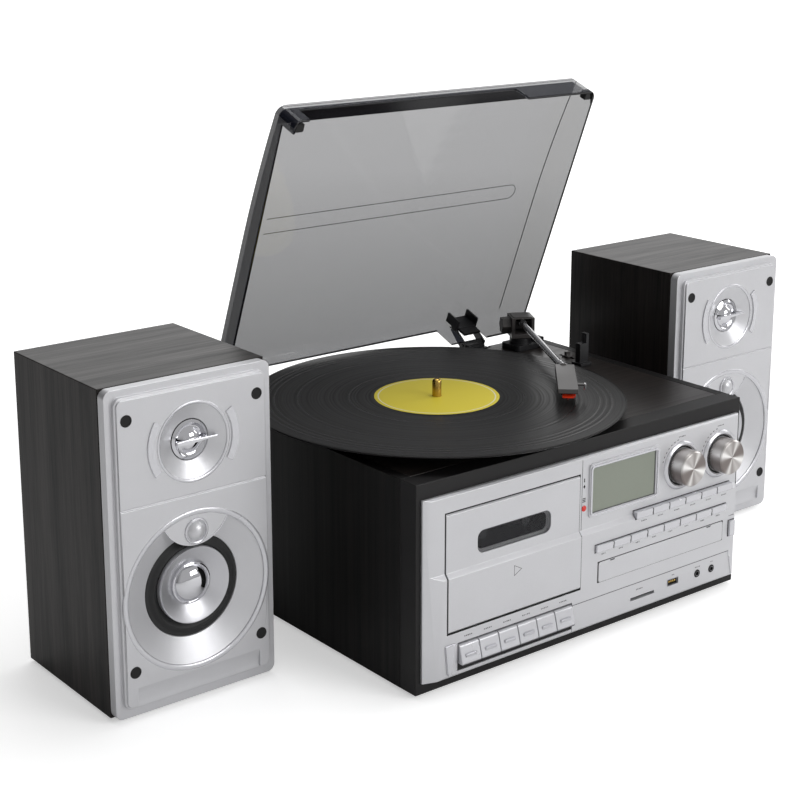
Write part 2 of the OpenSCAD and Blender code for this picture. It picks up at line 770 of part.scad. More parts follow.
// The turning block with a mouth that the tube comes out of
module tonearm_pivot() {
  z0 = deck_z + 11;
  z1 = deck_z + 30;
  color([0.22, 0.21, 0.21])
    union() {
      translate([piv_x, piv_y, deck_z + 1.5]) cylinder(r = yaw_r, h = z0 - deck_z);
      at_arm(tube_dir)
        difference() {
          union() {
            box([-11, -10.5, z0], [11, 10.5, z1]);
            // Six-sided cover of the side bearing
            translate([0, -10.4, arm_z - 2.5]) rotate([90, 0, 0]) cylinder(r = 8, h = 8, $fn = 6);
          }
          box([-8.5, -7.5, z0 + 4], [12, 7.5, z1 - 1.2]);
          translate([0, -12, arm_z]) rotate([-90, 0, 0]) cylinder(r = trunnion_r + run_gap, h = 24);
        }
    }
}

// The tube, its trunnion and weight, and the headshell with its finger lift
module tonearm() {
  elbow = tube_len;
  color([0.66, 0.66, 0.68])
    at_arm(tube_dir) {
      union() {
        translate([-6.5, 0, arm_z]) rotate([0, 90, 0]) cylinder(r = tube_d / 2, h = elbow + 6.5 - 4);
        translate([0, -10, arm_z]) rotate([-90, 0, 0]) cylinder(r = trunnion_r, h = 20);
        box([-7, -5, arm_z - 5.4], [-1, 5, arm_z + 1.8]);
        translate([elbow - 12, 0, arm_z]) rotate([0, 90, 0]) cylinder(r = tube_d / 2 + 1, h = 8);
        translate([elbow, 0, 0]) rotate([0, 0, -shell_angle]) headshell();
      }
    }
}

// Seen from its elbow, the shell runs forward along X and slopes down
module headshell() {
  top = arm_z + 2.6;
  end_z = rec_top + hover + 6;
  rotate([90, 0, 0]) translate([0, 0, -8])
    linear_extrude(height = 16) polygon([
      [-6, top - 5.6], [-6, top], [20, top], [24, top - 0.4], [shell_len + 3, end_z + 3.6],
      [shell_len + 5, end_z + 0.5], [shell_len + 4, end_z], [26, end_z], [18, top - 6]]);
  // Finger lift on the outer side
  translate([shell_len - 16, 7.5, end_z + 2]) cube([4, 7, 1.4]);
  translate([shell_len - 16, 13.2, end_z - 1]) cube([4, 1.4, 4.4]);
}

// The stylus holder under the shell's end
module cartridge() {
  end_z = rec_top + hover + 6;
  tip_z = rec_top + hover;
  color([0.90, 0.22, 0.10])
    at_arm(tube_dir) translate([tube_len, 0, 0]) rotate([0, 0, -shell_angle]) {
      union() {
        rotate([90, 0, 0]) translate([0, 0, -4.5])
          linear_extrude(height = 9) polygon([
            [shell_len - 15, end_z - 0.02], [shell_len - 15, end_z - 3.5], [shell_len - 3, tip_z + 2.4],
            [shell_len + 3.5, tip_z + 2.4], [shell_len + 3.5, end_z - 3.4], [shell_len - 1, end_z - 0.02]]);
        translate([shell_len, 0, tip_z]) cylinder(r1 = 0.15, r2 = 0.7, h = 2.6);
      }
    }
}

// The post that the arm is parked on: a ledge below the tube and a stop beside it
module arm_rest() {
  ledge = arm_z - tube_d / 2 - 1.2;
  color([0.06, 0.06, 0.07])
    union() {
      box([rest_x - 5, rest_y - 6, deck_z], [rest_x + 8, rest_y + 6, deck_z + 3]);
      box([rest_x - 3.5, rest_y - 3, deck_z], [rest_x + 7, rest_y + 3, ledge]);
      box([rest_x + tube_d / 2 + 0.8, rest_y - 3, ledge - 1], [rest_x + 7, rest_y + 3, arm_z + 4.6]);
    }
}

// The speed lever, in its slot
module speed_lever() {
  color([0.50, 0.50, 0.52])
    union() {
      box([lever_x - 1.2, lever_y - 2.5, deck_under + 2], [lever_x + 1.2, lever_y + 2.5, deck_z + 2]);
      translate([lever_x, lever_y, deck_z + 0.3]) rounded_box(7, 9, 1.2, 1.5);
      box([lever_x - 2.5, lever_y - 1.5, deck_z + 1], [lever_x + 2.5, lever_y + 1.5, deck_z + 5]);
    }
}

// ---------------------------------------------------------------- dust cover

// Swings a shape drawn in the closed pose to the open one
module opened() {
  translate([0, hinge_y, hinge_z]) rotate([-open_angle, 0, 0]) translate([0, -hinge_y, -hinge_z]) children();
}

// A tray-shaped cover; its skirt is cut away where the record reaches past the deck
module dust_cover() {
  d = cov_y1 - cov_y0;
  mid = (cov_y0 + cov_y1) / 2;
  low = deck_z + skirt_cut;
  left_cut = rec_x - record_d / 2 + 56;
  right_cut = rec_x + record_d / 2 - 23;
  color([0.30, 0.31, 0.34, 0.55])
    opened()
      difference() {
        translate([0, mid, cov_z0]) rounded_box(cov_w, d, cover_h, cov_r);
        translate([0, mid, cov_z0 - 1])
          rounded_box(cov_w - 2 * cover_t, d - 2 * cover_t, cover_h + 1 - cover_t, cov_r - cover_t);
        // Front, back and left cut-outs
        box([left_cut, cov_y0 - 1, cov_z0 - 1], [right_cut, cov_y0 + 12, low]);
        box([left_cut - 5, cov_y1 - 12, cov_z0 - 1], [right_cut - 5, cov_y1 + 1, deck_z + rear_cut]);
        box([-cov_w / 2 - 1, cov_y0 + 12, cov_z0 - 1], [-cov_w / 2 + 12, cov_y1 - 16, low]);
        // Notches for the hinges
        for (i = [0, 1]) {
          w = leaf_w[i] / 2 + 1;
          box([hinge_x[i] - w, cov_y1 - 4, cov_z0 - 1], [hinge_x[i] + w, cov_y1 + 1, deck_z + notch_h]);
        }
      }
}

// The hinge halves on the cabinet's back, each with its pin
module lid_hinges() {
  color([0.04, 0.04, 0.05])
    for (i = [0, 1]) {
      w = leaf_w[i] / 2 - leaf_t - 0.4;
      union() {
        box([hinge_x[i] - w, back_y, deck_z - 26], [hinge_x[i] + w, back_y + 3, deck_z + 3]);
        box([hinge_x[i] - w, back_y - 5, deck_z - 5], [hinge_x[i] + w, back_y + 4, deck_z + 1]);
        rod_x(hinge_x[i] - w, hinge_x[i] + w, hinge_y, hinge_z, 3.6);
        rod_x(hinge_x[i] - leaf_w[i] / 2 - 0.8, hinge_x[i] + leaf_w[i] / 2 + 0.8,
              hinge_y, hinge_z, hinge_pin_r);
      }
    }
}

// The channels that hold the cover's back wall; their necks pass over the record's edge to the pins
module hinge_leaves() {
  top = cov_z1 - cover_t - 0.02;
  front = leaf_back - leaf_d;
  neck_top = deck_z + notch_h - 1;
  color([0.05, 0.05, 0.07])
    opened()
      for (i = [0, 1]) {
        w = leaf_w[i] / 2;
        difference() {
          union() {
            for (s = [-1, 1]) {
              x0 = hinge_x[i] + (s > 0 ? w - leaf_t : -w);
              profile_x(x0, x0 + leaf_t, [
                [hinge_y + 3.5, hinge_z - 3], [hinge_y + 3.5, hinge_z + 3], [cov_y1 + 0.4, neck_top],
                [leaf_back, neck_top], [leaf_back, top], [front, top], [front, leaf_low],
                [leaf_back, leaf_low], [hinge_y - 3, hinge_z - 3.5]]);
            }
            box([hinge_x[i] - w, leaf_back - leaf_t, leaf_low], [hinge_x[i] + w, leaf_back, top]);
          }
          rod_x(hinge_x[i] - w - 1, hinge_x[i] + w + 1, hinge_y, hinge_z, hinge_pin_r + run_gap);
        }
      }
}

// ---------------------------------------------------------------- loudspeakers

// Places a shape at a loudspeaker: X from its middle, Y from its case's front, Z from its base
module at_speaker(i) {
  translate([spk_x[i], spk_y[i], foot_h]) children();
}

// The wooden case, with pockets for the drivers and the terminals
module speaker_case(i) {
  color([0.13, 0.12, 0.11])
    at_speaker(i)
      difference() {
        box([-spk_w / 2, 0, 0], [spk_w / 2, spk_d, spk_h]);
        rod_y(0, wf_z, woofer_rim_r + 1, -1, woofer_back + 18);
        rod_y(0, tw_z, tweeter_rim_r + 1, -1, tweeter_back + 12);
        box([-terminal_w / 2 + 6, spk_d - 14, terminal_z - terminal_h / 2 + 6],
            [terminal_w / 2 - 6, spk_d + 1, terminal_z + terminal_h / 2 - 6]);
      }
}

module left_case() { speaker_case(0); }
module right_case() { speaker_case(1); }

// The silver baffle: a rim, a raised face, a woofer flare with a lid over its top, and a
// tweeter dish
module speaker_baffle(i) {
  face_y = -baf_t - raise_t;
  flare_r = flare_d / 2 - 2;
  color([0.80, 0.80, 0.82])
    at_speaker(i) {
      difference() {
        union() {
          translate([0, 0, spk_h / 2]) facing(-baf_t, 0) rounded_rect(spk_w - 0.6, spk_h - 0.6, baf_r);
          translate([0, 0, spk_h / 2 + 1])
            facing(face_y + 1.5, -baf_t + eps) rounded_rect(spk_w - 12, spk_h - 14, baf_r);
          translate([0, 0, spk_h / 2 + 1])
            facing(face_y, -baf_t + eps) rounded_rect(spk_w - 15, spk_h - 17, baf_r - 1.5);
        }
        // Woofer flare and opening
        translate([0, 0, wf_z]) rotate([90, 0, 0]) translate([0, 0, -face_y - throat_d])
          cylinder(r1 = throat_r, r2 = flare_r, h = throat_d + eps, $fn = 96);
        rod_y(0, wf_z, throat_r, face_y - 1, 1);
        // Tweeter dish and opening
        translate([0, 0, tw_z]) rotate([90, 0, 0]) translate([0, 0, -face_y - 6])
          cylinder(r1 = tweeter_r, r2 = dish_d / 2 - 1.5, h = 6 + eps, $fn = 96);
        rod_y(0, tw_z, tweeter_r, face_y - 1, 1);
        // Groove between the two halves
        box([-spk_w / 2, face_y - 1, groove_z - 0.6], [spk_w / 2, face_y + 1, groove_z + 0.6]);
        // Scoop along the bottom
        translate([0, face_y - 20, 14]) rotate([0, 90, 0]) translate([0, 0, -spk_w / 2 + 16])
          cylinder(r = 22, h = spk_w - 32);
        for (x = [-peg_dx, peg_dx], z = peg_z) rod_y(x, z, peg_r, face_y - 1, -2);
      }
      // The lens-shaped lid over the flare's top, with its dome
      translate([0, 0, wf_z]) facing(face_y + 0.3, face_y + 3.8)
        intersection() {
          circle(r = flare_r + 1, $fn = 96);
          translate([0, dome_dz + 18]) circle(r = 28);
        }
      translate([0, face_y + 4.5, wf_z + dome_dz]) sphere(r = 8.5);
    }
}

module left_baffle() { speaker_baffle(0); }
module right_baffle() { speaker_baffle(1); }

// One woofer: frame, surround, cone and dust cap as a turned solid with its magnet
module woofer(i) {
  rim_y = baf_t + raise_t - throat_d;
  color([0.70, 0.70, 0.72])
    at_speaker(i) translate([0, 0, wf_z]) rotate([90, 0, 0])
      rotate_extrude($fn = 96) polygon([
        [0, rim_y - 8], [6, rim_y - 9.5], [12, rim_y - 13], [13, rim_y - 14], [27, rim_y - 3], [29, rim_y - 2],
        [throat_r - 6.5, rim_y + 0.2], [throat_r - 4, rim_y - 1.5], [throat_r - 0.3, rim_y - 1.8],
        [throat_r - 0.3, -0.05], [woofer_rim_r, -0.05], [woofer_rim_r, -3],
        [woofer_magnet_r - 8, 18 - woofer_back], [woofer_magnet_r, 18 - woofer_back],
        [woofer_magnet_r, -woofer_back], [0, -woofer_back]]);
}

module woofers() { woofer(0); woofer(1); }

// One tweeter: a chrome dome in its ring
module tweeter(i) {
  seat = baf_t + raise_t - 6;
  color([0.75, 0.75, 0.77])
    at_speaker(i) translate([0, 0, tw_z]) rotate([90, 0, 0])
      rotate_extrude($fn = 96) polygon([
        [0, seat + 4], [3, seat + 3.6], [6.5, seat + 1.2], [7.5, seat - 0.5], [10.5, seat - 0.5],
        [12, seat + 1.2], [tweeter_r - 0.4, seat + 0.2], [tweeter_r - 0.4, -0.05], [tweeter_rim_r, -0.05],
        [tweeter_rim_r, -3], [tweeter_r + 1, -5], [tweeter_r + 1, -tweeter_back], [0, -tweeter_back]]);
}

module tweeters() { tweeter(0); tweeter(1); }

// A spring-clip terminal plate: two on the loudspeakers and one on the main unit
module terminal_plate() {
  difference() {
    union() {
      facing(0, 3) rounded_rect(terminal_w, terminal_h, 3);
      facing(-11, 1) square([terminal_w - 14, terminal_h - 14], center = true);
    }
    for (x = [-9, 9]) translate([x, 0, -1]) facing(-6, 4) square([11, 12], center = true);
  }
  for (x = [-9, 9]) translate([x, 0, -3]) facing(-7, 1.5) square([9, 6.5], center = true);
}

module speaker_terminals() {
  color([0.08, 0.08, 0.08]) {
    for (i = [0, 1]) at_speaker(i) translate([0, spk_d, terminal_z]) terminal_plate();
    translate([0, back_y, main_term_z]) terminal_plate();
  }
}

// ---------------------------------------------------------------- drawing

cabinet();
front_frame();
deck();
rear_cover();
feet();
fascia();
display_panel();
cassette_door();
cassette_window();
cassette_deck();
supply_hub();
take_up_hub();
for (i = [0:len(KEY_NAMES) - 1])
  tape_key(i);
cd_tray();
cd_drive();
tray_button();
for (i = [1:N_SOURCE])
  source_button(i);
for (i = [1:N_FUNCTION])
  function_button(i);
tuning_knob();
volume_knob();
front_sockets();
main_board();
platter();
record();
drive_motor();
motor_pulley();
drive_belt();
tonearm_base();
tonearm_pivot();
tonearm();
cartridge();
arm_rest();
speed_lever();
dust_cover();
lid_hinges();
hinge_leaves();
left_case();
right_case();
left_baffle();
right_baffle();
woofers();
tweeters();
speaker_terminals();
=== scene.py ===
# %% [markdown]
# # A stereo music centre and its two loudspeakers
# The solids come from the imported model, at their real size. This script gives them soft edges,
# finishes and the small details that a maker would add, and lights them as in a studio.

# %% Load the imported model
import json
import math
import bmesh
import bpy
from mathutils import Matrix, Vector

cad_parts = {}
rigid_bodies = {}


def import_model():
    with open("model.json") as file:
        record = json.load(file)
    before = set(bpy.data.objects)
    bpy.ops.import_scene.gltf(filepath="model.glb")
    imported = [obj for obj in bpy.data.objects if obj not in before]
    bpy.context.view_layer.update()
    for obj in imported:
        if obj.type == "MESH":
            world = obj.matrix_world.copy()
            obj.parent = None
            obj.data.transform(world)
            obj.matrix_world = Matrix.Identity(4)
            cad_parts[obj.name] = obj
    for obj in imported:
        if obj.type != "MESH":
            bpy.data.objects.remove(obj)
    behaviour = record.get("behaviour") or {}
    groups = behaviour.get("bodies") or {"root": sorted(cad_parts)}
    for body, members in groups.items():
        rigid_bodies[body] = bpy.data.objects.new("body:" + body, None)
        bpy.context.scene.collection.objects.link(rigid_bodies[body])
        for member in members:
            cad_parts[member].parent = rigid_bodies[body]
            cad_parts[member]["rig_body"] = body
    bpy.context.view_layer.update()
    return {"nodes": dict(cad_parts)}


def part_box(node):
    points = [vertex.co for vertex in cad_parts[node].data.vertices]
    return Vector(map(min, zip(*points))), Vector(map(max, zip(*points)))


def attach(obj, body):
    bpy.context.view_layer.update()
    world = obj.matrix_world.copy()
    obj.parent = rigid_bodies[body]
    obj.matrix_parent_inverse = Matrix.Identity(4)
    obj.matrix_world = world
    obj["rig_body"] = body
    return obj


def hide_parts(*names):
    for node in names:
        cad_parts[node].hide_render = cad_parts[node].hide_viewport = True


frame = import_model()

# %% [markdown]
# ## The camera
# It stands to the left of the unit and a little above it, with a long lens. The frame is
# shifted down instead of tilting the camera more, so upright edges stay nearly upright.

# %% Camera
MM = 0.001
scene = bpy.context.scene
TILT_DOWN, TURN = 13.6, -38.45
camera_data = bpy.data.cameras.new("studio_camera")
camera_data.lens = 75.78
camera_data.sensor_width = 36.0
camera_data.shift_y = -0.125
camera_data.clip_end = 200.0
camera = bpy.data.objects.new("studio_camera", camera_data)
camera.location = (-0.8725, -0.990, 0.567)
camera.rotation_euler = (math.radians(90 - TILT_DOWN), 0.0, math.radians(TURN))
scene.collection.objects.link(camera)
scene.camera = camera
scene.view_settings.view_transform = "Standard"
print("camera lens", camera_data.lens, "mm")

# %% [markdown]
# ## Small helpers for nodes
# A finish is a tree of nodes. One helper adds a node and joins it up, another makes a group
# whose sockets are named, so that several finishes can share one effect.

# %% Node helpers
def add_node(tree, kind, inputs=None, **settings):
    made = tree.nodes.new(kind)
    for key, value in settings.items():
        setattr(made, key, value)
    for key, value in (inputs or {}).items():
        if isinstance(value, bpy.types.NodeSocket):
            tree.links.new(value, made.inputs[key])
        else:
            made.inputs[key].default_value = value
    return made


def calculate(tree, operation, a, b=0.0):
    return add_node(tree, "ShaderNodeMath", {0: a, 1: b}, operation=operation).outputs[0]


def remap(tree, value, from_low, from_high, to_low=0.0, to_high=1.0):
    """Stretches a value from one range to another, and keeps it inside the second."""
    return add_node(tree, "ShaderNodeMapRange", {"Value": value, "From Min": from_low, "From Max": from_high,
                                                 "To Min": to_low, "To Max": to_high}).outputs[0]


def effect_group(name, inputs, outputs):
    group = bpy.data.node_groups.new(name, "ShaderNodeTree")
    for label, kind, value in inputs:
        socket = group.interface.new_socket(label, in_out="INPUT", socket_type=kind)
        socket.default_value = value
    for label, kind in outputs:
        group.interface.new_socket(label, in_out="OUTPUT", socket_type=kind)
    return group, group.nodes.new("NodeGroupInput").outputs, group.nodes.new("NodeGroupOutput").inputs


def place_effect(tree, group, **values):
    made = tree.nodes.new("ShaderNodeGroup")
    made.node_tree = group
    for key, value in values.items():
        made.inputs[key.replace("_", " ")].default_value = value
    return made.outputs


FLOAT, COLOR, VECTOR = "NodeSocketFloat", "NodeSocketColor", "NodeSocketVector"
print("helpers ready")

# %% [markdown]
# ## Effects that several finishes share
# Paint and moulded plastic are never one flat colour: they carry a fine grain and a slow
# drift in gloss. Wood foil has long fibres. Turned parts have rings around their axis.

# %% Fine grain for paint and plastic
grain, put_in, put_out = effect_group(
    "fine_grain",
    [("Color", COLOR, (0.5, 0.5, 0.5, 1)), ("Scale", FLOAT, 900.0), ("Tint", FLOAT, 0.06),
     ("Roughness", FLOAT, 0.4), ("Spread", FLOAT, 0.08)],
    [("Color", COLOR), ("Roughness", FLOAT), ("Height", FLOAT)])
where = add_node(grain, "ShaderNodeTexCoord").outputs["Object"]
fine = add_node(grain, "ShaderNodeTexNoise", {"Vector": where, "Scale": put_in["Scale"], "Detail": 3.0})
slow_scale = calculate(grain, "MULTIPLY", put_in["Scale"], 0.02)
slow = add_node(grain, "ShaderNodeTexNoise", {"Vector": where, "Scale": slow_scale, "Detail": 2.0})
both = calculate(grain, "ADD", fine.outputs["Fac"], slow.outputs["Fac"])
drift = calculate(grain, "MULTIPLY", calculate(grain, "SUBTRACT", both, 1.0), put_in["Tint"])
gain = calculate(grain, "ADD", drift, 1.0)
scaled = add_node(grain, "ShaderNodeVectorMath", {0: put_in["Color"], "Scale": gain}, operation="SCALE")
grain.links.new(scaled.outputs[0], put_out["Color"])
off_middle = calculate(grain, "SUBTRACT", slow.outputs["Fac"], 0.5)
spread = calculate(grain, "MULTIPLY", off_middle, put_in["Spread"])
grain.links.new(calculate(grain, "ADD", put_in["Roughness"], spread), put_out["Roughness"])
grain.links.new(fine.outputs["Fac"], put_out["Height"])
print("fine grain made")

# %% Long fibres for wood foil
fibres, put_in, put_out = effect_group(
    "long_fibres",
    [("Dark", COLOR, (0.01, 0.01, 0.01, 1)), ("Light", COLOR, (0.04, 0.04, 0.04, 1)),
     ("Stretch", VECTOR, (6.0, 260.0, 6.0)), ("Roughness", FLOAT, 0.5)],
    [("Color", COLOR), ("Roughness", FLOAT), ("Height", FLOAT)])
where = add_node(fibres, "ShaderNodeTexCoord").outputs["Object"]
long_way = add_node(fibres, "ShaderNodeMapping", {"Vector": where, "Scale": put_in["Stretch"]})
broad = add_node(fibres, "ShaderNodeTexNoise",
                 {"Vector": long_way.outputs[0], "Scale": 0.5, "Detail": 3.0, "Distortion": 0.6})
thin = add_node(fibres, "ShaderNodeTexNoise",
                {"Vector": long_way.outputs[0], "Scale": 2.6, "Detail": 6.0, "Roughness": 0.7})
figure = calculate(fibres, "ADD", calculate(fibres, "MULTIPLY", broad.outputs["Fac"], 0.55),
                   calculate(fibres, "MULTIPLY", thin.outputs["Fac"], 0.6))
share = remap(fibres, figure, 0.42, 0.74)
tone = fibres.nodes.new("ShaderNodeMix")
tone.data_type = "RGBA"
fibres.links.new(share, tone.inputs[0])
fibres.links.new(put_in["Dark"], tone.inputs[6])
fibres.links.new(put_in["Light"], tone.inputs[7])
fibres.links.new(tone.outputs[2], put_out["Color"])
fibres.links.new(calculate(fibres, "SUBTRACT", put_in["Roughness"],
                           calculate(fibres, "MULTIPLY", share, 0.12)), put_out["Roughness"])
fibres.links.new(thin.outputs["Fac"], put_out["Height"])
print("long fibres made")

# %% Rings around an axis, for turned and pressed parts
rings, put_in, put_out = effect_group(
    "turned_rings",
    [("Centre", VECTOR, (0, 0, 0)), ("Across", VECTOR, (1, 0, 1)), ("Rings per metre", FLOAT, 3000.0)],
    [("Height", FLOAT), ("Radius", FLOAT), ("Band", FLOAT)])
where = add_node(rings, "ShaderNodeTexCoord").outputs["Object"]
off_axis = add_node(rings, "ShaderNodeVectorMath", {0: where, 1: put_in["Centre"]}, operation="SUBTRACT")
flat = add_node(rings, "ShaderNodeVectorMath", {0: off_axis.outputs[0], 1: put_in["Across"]},
                operation="MULTIPLY")
radius = add_node(rings, "ShaderNodeVectorMath", {0: flat.outputs[0]}, operation="LENGTH").outputs["Value"]
turns = calculate(rings, "MULTIPLY", radius, put_in["Rings per metre"])
rings.links.new(calculate(rings, "SINE", calculate(rings, "MULTIPLY", turns, 6.2832)), put_out["Height"])
rings.links.new(radius, put_out["Radius"])
on_line = add_node(rings, "ShaderNodeCombineXYZ", {"X": radius})
band = add_node(rings, "ShaderNodeTexNoise", {"Vector": on_line.outputs[0], "Scale": 420.0, "Detail": 4.0})
rings.links.new(band.outputs["Fac"], put_out["Band"])
print("turned rings made")

# %% [markdown]
# ## Finishes
# Each finish is one Principled shader. Numbers that are the same all over go straight on the
# shader's own sockets; only what changes over the surface comes through nodes.

# %% Finish helpers
def linear(r, g, b):
    """A colour as a paint chart gives it, 0 to 255, in the shader's linear light."""
    light = [c / 255 / 12.92 if c <= 10 else ((c / 255 + 0.055) / 1.055) ** 2.4 for c in (r, g, b)]
    return (*light, 1.0)


def new_finish(name, **plain):
    finish = bpy.data.materials.new(name)
    finish.use_nodes = True
    shader = finish.node_tree.nodes["Principled BSDF"]
    for key, value in plain.items():
        shader.inputs[key.replace("_", " ")].default_value = value
    return finish, finish.node_tree, shader


def raise_surface(tree, effect, shader, strength, distance):
    """Feeds an effect's height into a bump; the distance is in mm."""
    lift = add_node(tree, "ShaderNodeBump", {"Height": effect["Height"], "Strength": strength,
                                             "Distance": distance * MM})
    tree.links.new(lift.outputs[0], shader.inputs["Normal"])


def join(tree, effect, shader, bump=None, distance=0.05):
    tree.links.new(effect["Color"], shader.inputs["Base Color"])
    tree.links.new(effect["Roughness"], shader.inputs["Roughness"])
    if bump is not None:
        raise_surface(tree, effect, shader, bump, distance)


def grained(name, color, roughness, scale=900.0, tint=0.06, spread=0.08, bump=0.1, **plain):
    finish, tree, shader = new_finish(name, **plain)
    effect = place_effect(tree, grain, Color=linear(*color), Scale=scale, Tint=tint,
                          Roughness=roughness, Spread=spread)
    join(tree, effect, shader, bump)
    return finish


def fibred(name, dark, light, stretch, roughness, bump=0.25, gloss=0.2):
    finish, tree, shader = new_finish(name, Specular_IOR_Level=gloss)
    effect = place_effect(tree, fibres, Dark=linear(*dark), Light=linear(*light),
                          Stretch=stretch, Roughness=roughness)
    join(tree, effect, shader, bump, 0.12)
    return finish


print("finish helpers ready")

# %% Paints and plastics
silver_paint = grained("silver_paint", (203, 203, 206), 0.36, 1400, 0.07, 0.10, 0.12, Metallic=0.45)
silver_satin = grained("silver_satin", (208, 208, 212), 0.26, 1400, 0.05, 0.08, 0.06, Metallic=0.55)
black_satin = grained("black_satin", (13, 11, 12), 0.5, 700, 0.3, 0.12, 0.25, Specular_IOR_Level=0.35)
black_plastic = grained("black_plastic", (24, 24, 26), 0.38, 1200, 0.2, 0.12, 0.2)
black_rubber = grained("black_rubber", (22, 22, 23), 0.62, 1500, 0.2, 0.1, 0.35)
arm_plastic = grained("arm_plastic", (62, 59, 58), 0.34, 1200, 0.15, 0.12, 0.15)
arm_silver = grained("arm_silver", (190, 190, 192), 0.2, 1200, 0.06, 0.08, 0.05, Metallic=0.9)
hub_plastic = grained("hub_plastic", (74, 74, 78), 0.3, 900, 0.08, 0.1, 0.1)
# Black for print and small black parts; the same finish, set in gaps, paints the shade there.
black_and_painted_gap_shade = grained("black_and_painted_gap_shade", (12, 11, 12), 0.75, 1200, 0.2, 0.1, 0.1)
red_plastic = grained("red_plastic", (232, 58, 26), 0.3, 900, 0.08, 0.1, 0.1)
lamp_red = grained("lamp_red", (214, 52, 44), 0.25, 900, 0.05, 0.05, 0.05)
# Grey print; inside the display's bezel the same finish paints shade.
grey_print_and_painted_shade = grained("grey_print_and_painted_shade", (72, 72, 76), 0.5, 1500, 0.2, 0.1, 0.0)
board_green = grained("board_green", (26, 84, 48), 0.35, 500, 0.2, 0.1, 0.2)
socket_steel = grained("socket_steel", (172, 172, 176), 0.28, 1000, 0.08, 0.1, 0.1, Metallic=0.95)
brass = grained("brass", (190, 158, 84), 0.25, 900, 0.08, 0.1, 0.1, Metallic=1.0)
gold_plate = grained("gold_plate", (214, 178, 96), 0.2, 900, 0.06, 0.1, 0.05, Metallic=1.0)
chrome = grained("chrome", (214, 214, 218), 0.05, 300, 0.03, 0.03, 0.0, Metallic=1.0)
print(len(bpy.data.materials), "finishes so far")

# %% Wood foil
# The cabinet's foil is the speakers' wood foil made darker: the darker colour paints the shade on the
# cabinet's sides.
side_foil_painted_shade = fibred("side_foil_painted_shade", (4, 4, 4), (21, 19, 19), (330, 330, 5), 0.55)
speaker_foil = fibred("speaker_foil", (8, 7, 7), (45, 40, 38), (7, 190, 7), 0.42)
deck_foil = fibred("deck_foil", (20, 17, 16), (42, 37, 35), (3, 240, 3), 0.42, 0.15, 0.4)
print("wood foils made")

# %% [markdown]
# ## Edges
# A real edge is never perfectly sharp: a small round catches the light. Each solid is copied,
# its loose triangles are joined into faces, and a narrow bevel rounds every edge that turns
# by more than a set angle. The solid's own size and place stay as they are.

# %% Edge helper
MERGE, FLAT_TURN, SMALL_FACE = 0.002 * MM, math.radians(0.4), 20 * MM * MM
dressed = {}


def plain_mesh(obj):
    """Replaces an object's mesh and modifiers by the plain mesh that they make."""
    graph = bpy.context.evaluated_depsgraph_get()
    baked = bpy.data.meshes.new_from_object(obj.evaluated_get(graph), preserve_all_data_layers=True,
                                            depsgraph=graph)
    obj.modifiers.clear()
    obj.data = baked
    return obj


def show(name, mesh, finish, body):
    piece = bpy.data.objects.new(name, mesh)
    scene.collection.objects.link(piece)
    if finish is not None:
        mesh.materials.clear()
        mesh.materials.append(finish)
    if body is not None:
        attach(piece, body)
    return piece


def shrink_sides(work, by):
    """Takes a little off each side in X and in Z, so that a dark gap shows round the piece."""
    xs = [v.co.x for v in work.verts]
    zs = [v.co.z for v in work.verts]
    middle_x, half_x = (min(xs) + max(xs)) / 2, (max(xs) - min(xs)) / 2
    middle_z, half_z = (min(zs) + max(zs)) / 2, (max(zs) - min(zs)) / 2
    for v in work.verts:
        v.co.x = middle_x + (v.co.x - middle_x) * (1 - by[0] * MM / half_x)
        v.co.z = middle_z + (v.co.z - middle_z) * (1 - by[1] * MM / half_z)


def round_corners(work, radius, front):
    """Rounds the edges that run from front to back, in front of a given depth."""
    picked = []
    for e in work.edges:
        a, b = (v.co for v in e.verts)
        along_y = abs(a.x - b.x) + abs(a.z - b.z) < 0.01 * MM
        if along_y and max(a.y, b.y) < front * MM and e.calc_face_angle(0) > 1:
            picked.append(e)
    bmesh.ops.bevel(work, geom=picked, offset=radius * MM, segments=4, affect="EDGES", profile=0.5)


def soften(node_name, finish, edge=0.35, segments=2, turn=30, shrink=None, corners=None, shape=None,
           more_finishes=()):
    """Copies a solid, rounds the edges that turn by more than the given angle, and takes its place."""
    solid = frame["nodes"][node_name]
    work = bmesh.new()
    work.from_mesh(solid.data)
    bmesh.ops.remove_doubles(work, verts=work.verts, dist=MERGE)
    bmesh.ops.dissolve_limit(work, angle_limit=FLAT_TURN, verts=work.verts, edges=work.edges)
    if shrink:
        shrink_sides(work, shrink)
    if corners:
        round_corners(work, *corners)
    if shape:
        shape(work)
    for face in work.faces:
        face.smooth = True
    mesh = bpy.data.meshes.new(node_name + "_dressed")
    finish_of = [face.material_index for face in work.faces]
    work.to_mesh(mesh)
    work.free()
    for extra in [a.name for a in mesh.attributes if a.name in ("custom_normal", "sharp_edge", "sharp_face")]:
        mesh.attributes.remove(mesh.attributes[extra])
    piece = show(node_name + "_dressed", mesh, finish, None)
    for other in more_finishes:
        mesh.materials.append(other)
    mesh.polygons.foreach_set("material_index", finish_of)
    if edge:
        bevel = piece.modifiers.new("edge", "BEVEL")
        bevel.width = edge * MM
        bevel.segments = segments
        bevel.limit_method = "ANGLE"
        bevel.angle_limit = math.radians(turn)
        bevel.use_clamp_overlap = False
    if not more_finishes:
        shading = piece.modifiers.new("shading", "WEIGHTED_NORMAL")
        shading.weight = 90
    plain_mesh(piece)
    if more_finishes:
        for face in piece.data.polygons:
            face.use_smooth = face.area < SMALL_FACE
    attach(piece, solid["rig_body"])
    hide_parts(node_name)
    dressed[node_name] = piece
    return piece


print("edge helper ready")

# %% Soft edges on the cases and boards
for name, finish, edge in (
        ("cabinet", side_foil_painted_shade, 0.5), ("front_frame", black_satin, 0.7), ("deck", deck_foil, 0.5),
        ("rear_cover", black_plastic, 0.3), ("feet", black_rubber, 0.5),
        ("left_case", speaker_foil, 0.6), ("right_case", speaker_foil, 0.6)):
    soften(name, finish, edge)
print(len(dressed), "pieces have soft edges")

